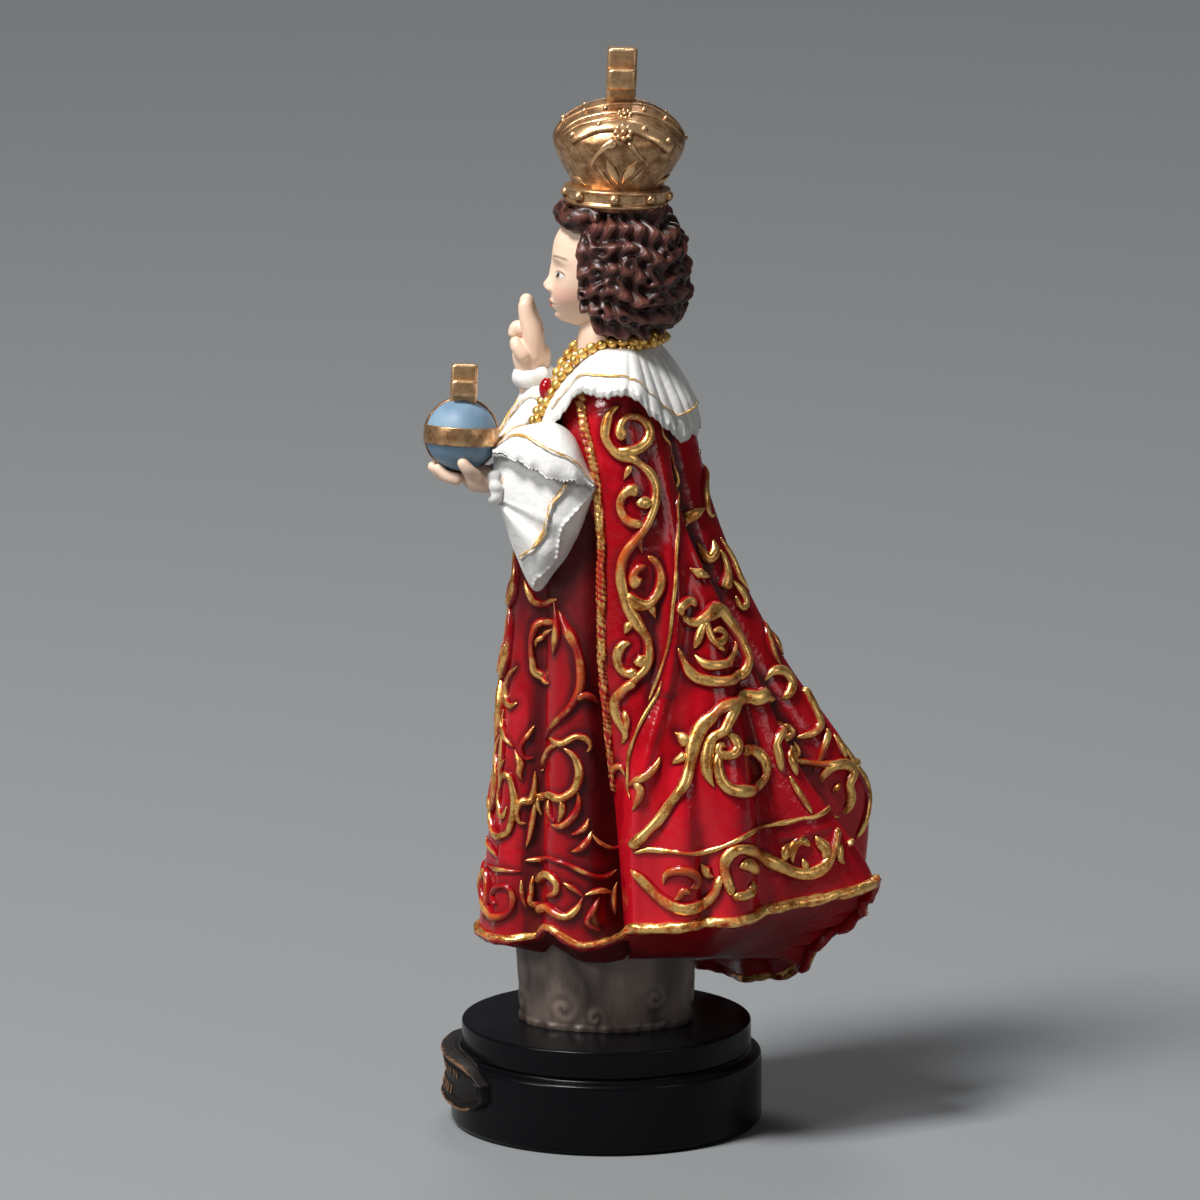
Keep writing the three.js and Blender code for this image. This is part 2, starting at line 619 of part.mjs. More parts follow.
function makeFigure() {
  const parts = [
    makeCloud(),
    makeDress(),
    makeCape(),
    makeCollar(),
    makeSleeve(1),
    makeSleeve(-1),
    makeHand(leftHand),
    makeHand(rightHand),
    makeHead(),
    makeHair(),
    makeCrown(),
    makeOrb(),
    makeNecklace(),
    makeVine(capeRibs, capeVine, 1),
    makeVine(capeRibs, { ...capeVine, at: 360 - capeVine.at }, -1),
    ...capeScrolls.map((s) => makeScroll(capeRibs, s)),
    ...[...dressScrolls, ...mirrored(dressScrolls)].map((s) => makeScroll(dressRibs, s)),
  ];
  return filled(wasm.Manifold.union(parts).simplify(0.02));
}

// The casting is solid, so a pocket that its forms close off between them is filled
const filled = (body) => wasm.Manifold.union(body.decompose().filter((part) => part.volume() > 0));

// A named three.js mesh from a manifold solid
function mesh(name, body, { color, roughness, metalness }) {
  const { vertProperties, triVerts } = body.getMesh();
  const geometry = new THREE.BufferGeometry()
    .setAttribute("position", new THREE.BufferAttribute(vertProperties, 3))
    .setIndex(new THREE.BufferAttribute(triVerts, 1));
  geometry.computeVertexNormals();
  const made = new THREE.Mesh(geometry, new THREE.MeshStandardMaterial({ color, roughness, metalness }));
  made.name = name;
  return made;
}

const statue = new THREE.Group();
const standing = mesh("figure", makeFigure(), finish.figure);
standing.position.z = base.lowerHeight + base.upperHeight;
statue.add(standing, mesh("base", stepped().add(labelPlate()), finish.base));

export default statue;
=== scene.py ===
# Crowned child figure in a red and gold robe, on a black stepped base.
# Shapes are worked out in millimetres in the part's frame and put into their meshes in metres.
import math

import bpy
import numpy as np
from mathutils import Matrix, Vector


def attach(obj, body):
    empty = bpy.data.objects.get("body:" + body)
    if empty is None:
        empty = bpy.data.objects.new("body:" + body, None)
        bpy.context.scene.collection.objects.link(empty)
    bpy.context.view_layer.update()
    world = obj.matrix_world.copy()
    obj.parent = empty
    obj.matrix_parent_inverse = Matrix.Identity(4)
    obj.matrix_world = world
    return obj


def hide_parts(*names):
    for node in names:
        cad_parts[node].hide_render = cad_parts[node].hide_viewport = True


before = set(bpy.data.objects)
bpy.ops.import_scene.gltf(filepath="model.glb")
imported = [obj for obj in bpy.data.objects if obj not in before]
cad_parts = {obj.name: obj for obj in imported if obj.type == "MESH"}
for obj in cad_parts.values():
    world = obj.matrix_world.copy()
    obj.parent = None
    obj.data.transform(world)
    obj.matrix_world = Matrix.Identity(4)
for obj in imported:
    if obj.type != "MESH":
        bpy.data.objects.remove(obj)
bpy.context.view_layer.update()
chance = np.random.default_rng(7)
baseTop = 19.4  # height of the plinth, on which every height of the figure is measured

# Camera: a long lens on the figure's left side, a little above it
camera = {
    "target": (0, -1.2, 99.1),
    "distance": 2400,
    "elevation": 12.4,
    "millimetresPerPixel": 0.1854,
    "pixels": 1200,
    "sensor": 36,
}


def intoScene(made):
    bpy.context.scene.collection.objects.link(made)
    return made


def makeCamera():
    lean = math.radians(camera["elevation"])
    back = np.array([math.cos(lean), 0, math.sin(lean)])
    up = np.array([-math.sin(lean), 0, math.cos(lean)])
    place = np.array(camera["target"]) + camera["distance"] * back
    data = bpy.data.cameras.new("photoCamera")
    data.sensor_width = camera["sensor"]
    data.lens = camera["sensor"] * camera["distance"] / (camera["millimetresPerPixel"] * camera["pixels"])
    data.clip_start = 0.1
    data.clip_end = 50
    eye = intoScene(bpy.data.objects.new("photoCamera", data))
    matrix = np.eye(4)
    matrix[:3, :3] = np.stack([[0, 1, 0], up, back], axis=1)
    matrix[:3, 3] = place / 1000
    eye.matrix_world = Matrix(matrix.tolist())
    bpy.context.scene.camera = eye
    print("camera looks from", eye.location)


makeCamera()


# Where the camera sees points, in pixels of a 1200 pixel picture
def seenAt(points):
    lean = math.radians(camera["elevation"])
    away = points - np.array(camera["target"])
    depth = camera["distance"] - away[:, 0] * math.cos(lean) - away[:, 2] * math.sin(lean)
    up = away[:, 2] * math.cos(lean) - away[:, 0] * math.sin(lean)
    scale = camera["distance"] / camera["millimetresPerPixel"] / depth
    half = camera["pixels"] / 2
    return half + away[:, 1] * scale, half - up * scale


# Materials
class Channel:
    # One output of a material's nodes. Sums, differences and products add Math nodes.
    def __init__(self, tree, socket=None):
        self.tree = tree
        self.socket = socket

    def node(self, kind, settings=None, inputs=None, output=0):
        made = self.tree.nodes.new(kind)
        for name, value in (settings or {}).items():
            setattr(made, name, value)
        for name, value in (inputs or {}).items():
            self.join(made.inputs[name], value)
        return Channel(self.tree, made.outputs[output] if len(made.outputs) else None)

    def join(self, socket, value):
        if isinstance(value, Channel):
            self.tree.links.new(value.socket, socket)
        elif isinstance(value, (tuple, list)) and socket.type == "RGBA":
            socket.default_value = (*value, 1)
        else:
            socket.default_value = value

    def math(self, operation, a, b):
        return self.node("ShaderNodeMath", {"operation": operation}, {0: a, 1: b})

    def __add__(self, other):
        return self.math("ADD", self, other)

    def __radd__(self, other):
        return self.math("ADD", other, self)

    def __sub__(self, other):
        return self.math("SUBTRACT", self, other)

    def __rsub__(self, other):
        return self.math("SUBTRACT", other, self)

    def __mul__(self, other):
        return self.math("MULTIPLY", self, other)

    def __rmul__(self, other):
        return self.math("MULTIPLY", other, self)

    def step(self, low, high):
        settings = {"interpolation_type": "SMOOTHSTEP"}
        return self.node("ShaderNodeMapRange", settings, {"Value": self, "From Min": low, "From Max": high})

    def greater(self, other):
        return self.math("MAXIMUM", self, other)

    def place(self):
        return self.node("ShaderNodeTexCoord", output="Object")

    def stretched(self, scale):
        return self.node("ShaderNodeMapping", {}, {"Vector": self.place(), "Scale": scale})

    def noise(self, scale, detail=3, roughness=0.5, place=None):
        inputs = {"Scale": scale, "Detail": detail, "Roughness": roughness, "Vector": place or self.place()}
        return self.node("ShaderNodeTexNoise", {}, inputs)

    def cells(self, scale):
        return self.node("ShaderNodeTexVoronoi", {}, {"Scale": scale, "Vector": self.place()})

    def stored(self, name):
        return self.node("ShaderNodeAttribute", {"attribute_name": name}, output="Fac")

    def blend(self, a, b, share):
        return self.node("ShaderNodeMix", {"data_type": "RGBA"}, {0: share, 6: a, 7: b}, output=2)

    def bump(self, height, strength, distance):
        return self.node("ShaderNodeBump", {}, {"Height": height, "Strength": strength, "Distance": distance})


# A material, named as the function that gives its shader's values and links
def makeMaterial(surface):
    material = bpy.data.materials.new(surface.__name__)
    material.use_nodes = True
    tree = material.node_tree
    tree.nodes.clear()
    start = Channel(tree)
    shader = start.node("ShaderNodeBsdfPrincipled", {}, surface(start))
    start.node("ShaderNodeOutputMaterial", {}, {"Surface": shader})
    return material


# Meshes
# A grid of points, rows by columns, as a shape: four-cornered faces that close round each row, and fans
# from the first and last rows to their poles. Each value is one number or a grid.
# Faces are turned outwards by the sign of the volume that they enclose.
def gridShape(points, values=None, closed=True):
    rows, columns = points.shape[:2]
    here = np.arange(rows * columns).reshape(rows, columns)
    ahead = np.roll(here, -1, axis=1)
    quads = np.stack([here[:-1], ahead[:-1], ahead[1:], here[1:]], axis=-1).reshape(-1, 4)
    flat = points.reshape(-1, 3)
    values = {name: np.broadcast_to(v, (rows, columns)).reshape(-1) for name, v in (values or {}).items()}
    triangles = [np.zeros((0, 3), int)]
    for row, flip in ((0, 1), (rows - 1, -1)) if closed else ():
        pole = len(flat)
        flat = np.concatenate([flat, points[row].mean(0, keepdims=True)])
        values = {name: np.append(v, v[here[row]].mean()) for name, v in values.items()}
        triangles.append(np.stack([here[row], np.full(columns, pole), ahead[row]], axis=-1)[:, ::flip])
    triangles = np.concatenate(triangles)
    return turnedOut({"points": flat, "quads": quads, "triangles": triangles, "values": values})


def turnedOut(shape):
    points, quads = shape["points"], shape["quads"]
    corners = np.concatenate([quads[:, :3], quads[:, [0, 2, 3]], shape["triangles"]])
    a, b, c = (points[corners[:, k]] for k in range(3))
    if np.einsum("ij,ij->i", a, np.cross(b, c)).sum() < 0:
        shape["quads"] = quads[:, ::-1]
        shape["triangles"] = shape["triangles"][:, ::-1]
    return shape


def joined(shapes):
    starts = np.cumsum([0] + [len(s["points"]) for s in shapes])
    return {
        "points": np.concatenate([s["points"] for s in shapes]),
        "quads": np.concatenate([s["quads"] + k for s, k in zip(shapes, starts)]),
        "triangles": np.concatenate([s["triangles"] + k for s, k in zip(shapes, starts)]),
        "values": {name: np.concatenate([s["values"][name] for s in shapes]) for name in shapes[0]["values"]},
    }


# A piece from a shape in millimetres: its mesh, stored values, material, body and replaced node
def makePiece(name, shape, material, replaces=None):
    mesh = bpy.data.meshes.new(name)
    quads, triangles = shape["quads"], shape["triangles"]
    loops = np.concatenate([quads.reshape(-1), triangles.reshape(-1)])
    sizes = np.concatenate([np.full(len(quads), 4), np.full(len(triangles), 3)])
    mesh.vertices.add(len(shape["points"]))
    mesh.vertices.foreach_set("co", (shape["points"] / 1000).astype(np.float32).reshape(-1))
    mesh.loops.add(len(loops))
    mesh.loops.foreach_set("vertex_index", loops.astype(np.int32))
    mesh.polygons.add(len(sizes))
    mesh.polygons.foreach_set("loop_start", (np.cumsum(sizes) - sizes).astype(np.int32))
    mesh.polygons.foreach_set("use_smooth", np.full(len(sizes), True))
    mesh.update(calc_edges=True)
    for label, value in shape["values"].items():
        mesh.attributes.new(label, "FLOAT", "POINT").data.foreach_set("value", value.astype(np.float32))
    mesh.materials.append(material)
    piece = intoScene(bpy.data.objects.new(name, mesh))
    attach(piece, "root")
    if replaces:
        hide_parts(replaces)
    print("made", name, "with", len(quads) * 2 + len(triangles), "triangles")
    return piece


def mix(a, b, share):
    return a + (b - a) * share


def smooth(x):
    x = np.clip(x, 0, 1)
    return x * x * (3 - 2 * x)


# Smooth curve through evenly spaced values, followed along their last axis for x of 0..1
def along(values, x):
    values = np.asarray(values, float)
    last = values.shape[-1] - 1
    place = np.clip(x, 0, 1) * last
    i = np.minimum(place.astype(int), last - 1)
    s = place - i
    a, b, c, d = (values[..., np.clip(i + k, 0, last)] for k in (-1, 0, 1, 2))
    return 0.5 * (2 * b + (c - a) * s + (2 * a - 5 * b + 4 * c - d) * s**2 + (3 * b - a - 3 * c + d) * s**3)


# Distance from an oval's middle to its edge: 1 over the root of (sin/side) squared plus (cos/depth) squared
def ovalReach(angle, side, depth):
    return 1 / np.hypot(np.sin(angle) / side, np.cos(angle) / depth)


def unit(vectors):
    return vectors / np.maximum(np.linalg.norm(vectors, axis=-1, keepdims=True), 1e-9)


def fullTurn(count):
    return np.linspace(0, 2 * np.pi, count, endpoint=False)


# Points at a turn from the front round an upright axis at depth y, a reach from it, at height z
def aroundAxis(turn, reach, z, y=0):
    return np.stack(np.broadcast_arrays(np.sin(turn) * reach, y - np.cos(turn) * reach, z), axis=-1)


def lengthAlong(points):
    return np.append(0, np.cumsum(np.linalg.norm(np.diff(points, axis=0), axis=1)))


# Points at given lengths along a line whose points lie at the lengths of run
def pointsAt(lengths, run, points):
    return np.stack([np.interp(lengths, run, column) for column in points.T], axis=1)


# Height of a quarter circle at x of 0..1, and never less than the root of least
def roundedEnd(x, least=0):
    return np.sqrt(np.clip(1 - (1 - np.clip(x, 0, 1)) ** 2, least, 1))


# Bell curve: e to the power of minus (x / wide) squared
def bell(x, wide):
    return np.exp(-((x / wide) ** 2))


# Circles across a path, from its side and up directions, as a direction for each turn
def circles(turn, side, up):
    return np.cos(turn)[None, :, None] * side[:, None] + np.sin(turn)[None, :, None] * up[:, None]


# Robes
# Each rib is a crest or a valley of the cloth, at five even steps from the top to the hem:
# its angle from the front in degrees, its distance from the robes' centre, and the hem's height.
robe = {"top": 121.6, "centre": (4, 8), "rise": 2.6, "crease": 0.85, "underReach": 13, "under": (10.6, 0.28, 0.04)}
capeRibs = [
    ([31, 70, 71.5, 75, 77], [15.3, 19.5, 21.6, 21.2, 20.5], 20.8),
    ([78, 88, 85, 85, 85], [16.6, 19.8, 22, 25.2, 26.2], 23.6),
    ([94, 103, 96, 92, 92], [15, 19, 21.5, 27.3, 28.6], 24),
    ([104, 109, 113, 105, 98], [14.6, 18.6, 24.8, 29.4, 29.8], 24.4),
    ([109, 114, 122, 116, 108], [14.2, 18.4, 24.6, 29.6, 29.7], 25),
    ([112, 117, 128, 127, 118], [13.9, 18.2, 24.7, 31, 31.6], 25.2),
    ([114, 119, 134, 139, 141], [13.6, 17.9, 24.3, 29.8, 32.9], 26.6),
    ([117, 122, 140, 151.5, 167], [13.4, 17.6, 24.8, 32.5, 42.8], 28.4),
    ([128, 132, 148, 158, 173], [11, 14.2, 19.6, 27, 40.8], 23.8),
    ([164, 165.5, 173, 178.5, 181], [11.2, 16, 26.4, 40.8, 39.6], 20),
    ([178, 180, 184.5, 187, 189], [10.4, 13.2, 20.5, 32, 35.8], 15.6),
    ([190, 192, 195, 197, 197], [11.2, 15.8, 25, 34, 32], 11),
    ([203, 205, 207, 207, 206], [10.6, 14, 20.6, 27.5, 31.6], 6),
    ([218, 220, 222, 221, 219], [12, 16.6, 24, 29, 31], 3.2),
    ([233, 236, 237, 236, 234], [12, 15.4, 20.4, 24.6, 29], 2),
    ([248, 250, 252, 254, 254], [13.6, 18, 23.6, 28, 29.6], 3.4),
    ([262, 265, 267, 268, 270], [14.6, 18, 21.6, 25.4, 27.4], 14.4),
    ([280, 276, 277, 277, 277], [16.6, 19.8, 22.6, 26, 27.6], 20),
    ([329, 290, 288.5, 286, 284], [15.3, 19.5, 21.6, 21.4, 20.6], 20),
]
halfDressRibs = [
    ([9, 12, 12, 12, 13], [15, 20.4, 24.4, 27.4, 30.6], 16),
    ([21, 21, 22, 23, 24], [14.8, 20, 23.6, 26, 28.8], 16.6),
    ([31, 31, 30, 30, 30], [14, 18.4, 20.8, 22.4, 24.4], 17.4),
    ([46, 46, 46, 45, 45], [14, 18.8, 21.6, 23.6, 25.6], 20.6),
    ([60, 60, 60, 60, 60], [14, 18.8, 21.2, 22.8, 24.4], 17.8),
    ([76, 76, 76, 76, 76], [13, 16.2, 17, 17.4, 17.6], 18.6),
    ([110, 110, 110, 110, 110], [10, 12, 14, 15, 16], 17.6),
    ([150, 150, 150, 150, 150], [9, 10.5, 12.5, 13, 14], 15),
]
frontRib = ([0, 0, 0, 0, 0], [15, 20.9, 25.1, 28.2, 31.8], 16.2)
# Softer folds: angles at the same steps, half width, and how far the cloth stands out at each step
nearFolds = [
    ([105, 114.5, 104, 87, 83], 1.5, [0, 0.5, 1.0, 1.2, 1.0]),
    ([110, 118.5, 112, 98, 93], 2.8, [0, -0.5, -1.5, -1.2, -0.7]),
    ([112, 119, 125, 120, 119], 3.6, [0, 0, 0.9, 1.0, 1.0]),
    ([114, 120, 132, 134, 132], 2.6, [0, 0, -0.5, -1.2, -1.4]),
    ([84, 92, 90, 80, 76], 2.6, [0.3, 0.5, 0.4, 0, 0]),
    ([96, 104, 100, 104, 104], 2.2, [0, 0, 0, 0.5, 0.9]),
    ([96, 104, 100, 109, 110.5], 1.8, [0, 0, 0, -0.5, -0.9]),
    ([126, 130, 148, 164, 177], 2.2, [-0.6, -1.0, -1.4, -1.4, -0.8]),
]
farFolds = [([360 - a for a in turn], wide, stand) for turn, wide, stand in nearFolds[:7]]
dressFolds = [
    ([30, 30, 30, 30, 30], 1.6, [0, -0.4, -0.9, -1.2, -1.0]),
    ([70, 69, 69, 70, 71], 2.2, [0, -0.4, -1.2, -1.8, -1.8]),
    ([16, 17, 17, 18, 19], 1.5, [0, 0, 0.3, 0.6, 0.6]),
    ([52, 52, 51, 50, 50], 3.0, [0, 0.3, 0.8, 1.0, 0.8]),
]
bothDressFolds = dressFolds + [([-a for a in turn], wide, stand) for turn, wide, stand in dressFolds]


def ribArrays(ribs):
    turn, reach, low = (np.array(part, float) for part in zip(*ribs))
    return {"turn": turn, "reach": reach, "low": low}


mirrorRibs = [([360 - a for a in turn], reach, low) for turn, reach, low in reversed(halfDressRibs)]
capeCloth = {**ribArrays(capeRibs), "folds": nearFolds + farFolds, "shoulder": (0.9, 0.09)}
dressCloth = {**ribArrays([frontRib, *halfDressRibs, *mirrorRibs]), "folds": bothDressFolds, "shoulder": (0.8, 0.1)}


# Reach and hem height at an angle and a fall of 0 at the top to 1 at the hem: a smooth curve runs
# through the ribs round the figure, level on each crest and creased in each valley.
def ribbed(ribs, angle, fall):
    at, reach = along(ribs["turn"], fall), along(ribs["reach"], fall)
    turned = angle % 360
    count, column = len(at), np.arange(len(turned))
    found = (at <= turned).sum(0) - 1
    order = [(found + k) % count for k in (-1, 0, 1, 2)]
    x, y = ([grid[i, column] for i in order] for grid in (at, reach))
    first = x[1] - 360 * (found < 0)
    before = first - (x[1] - x[0]) % 360
    second = first + (x[2] - x[1]) % 360
    after = second + (x[3] - x[2]) % 360
    spans = ((before, first), (first, second), (second, after))
    rises = [(y[k + 1] - y[k]) / (b - a) for k, (a, b) in enumerate(spans)]
    span = second - first
    s = (turned - first) / span

    def slope(left, right, own):
        through = np.where(left * right > 0, 2 * left * right / np.where(left + right == 0, 1, left + right), 0)
        return np.where((left < 0) & (right > 0), robe["crease"] * own, through) * span

    start, end = slope(rises[0], rises[1], rises[1]), slope(rises[1], rises[2], rises[1])
    rise = y[2] - y[1]
    curve = y[1] + start * s + (3 * rise - 2 * start - end) * s**2 + (start + end - 2 * rise) * s**3
    for turn, wide, stand in ribs["folds"]:
        off = np.radians((angle - along(turn, fall) + 180) % 360 - 180) * curve / wide
        curve = curve + along(stand, fall) * np.exp(-(off**2))
    narrow, ease = ribs["shoulder"]
    curve = curve * mix(narrow, 1, np.sin(np.pi / 2 * np.clip(fall / ease, 0, 1)))
    return curve, mix(ribs["low"][order[1]], ribs["low"][order[2]], smooth(s))


def robePoints(angle, reach, fall, z):
    return aroundAxis(np.radians(angle), reach, z + baseTop, mix(*robe["centre"], fall))


def clothPoints(ribs, angle, fall):
    reach, low = ribbed(ribs, angle, fall)
    return robePoints(angle, reach, fall, mix(robe["top"], low, fall))


# A surface is a function from an angle and a fall to points, where the fall runs downwards.
# Its outward directions come from its slopes across and down.
def outwardOf(surface, angle, fall, wide=0.8):
    across = surface(angle + wide, fall) - surface(angle - wide, fall)
    low, high = np.clip(fall - 0.006, 0, 1), np.clip(fall + 0.006, 0, 1)
    return unit(np.cross(surface(angle, high) - surface(angle, low), across))


def capeSurface(angle, fall):
    return clothPoints(capeCloth, angle, fall)


def dressSurface(angle, fall):
    return clothPoints(dressCloth, angle, fall)


# How far a place lies below the cloth around it at the same height, 0 to 1
# The robes' finish paints shade by it: darker red in the fold valleys.
def hollow(ribs, angle, fall):
    reach = ribbed(ribs, angle, fall)[0]
    around = np.mean([ribbed(ribs, angle + turn, fall)[0] for turn in (-14, -9, -5, 5, 9, 14)], axis=0)
    return np.clip((around - reach) / 1.5, 0, 1)


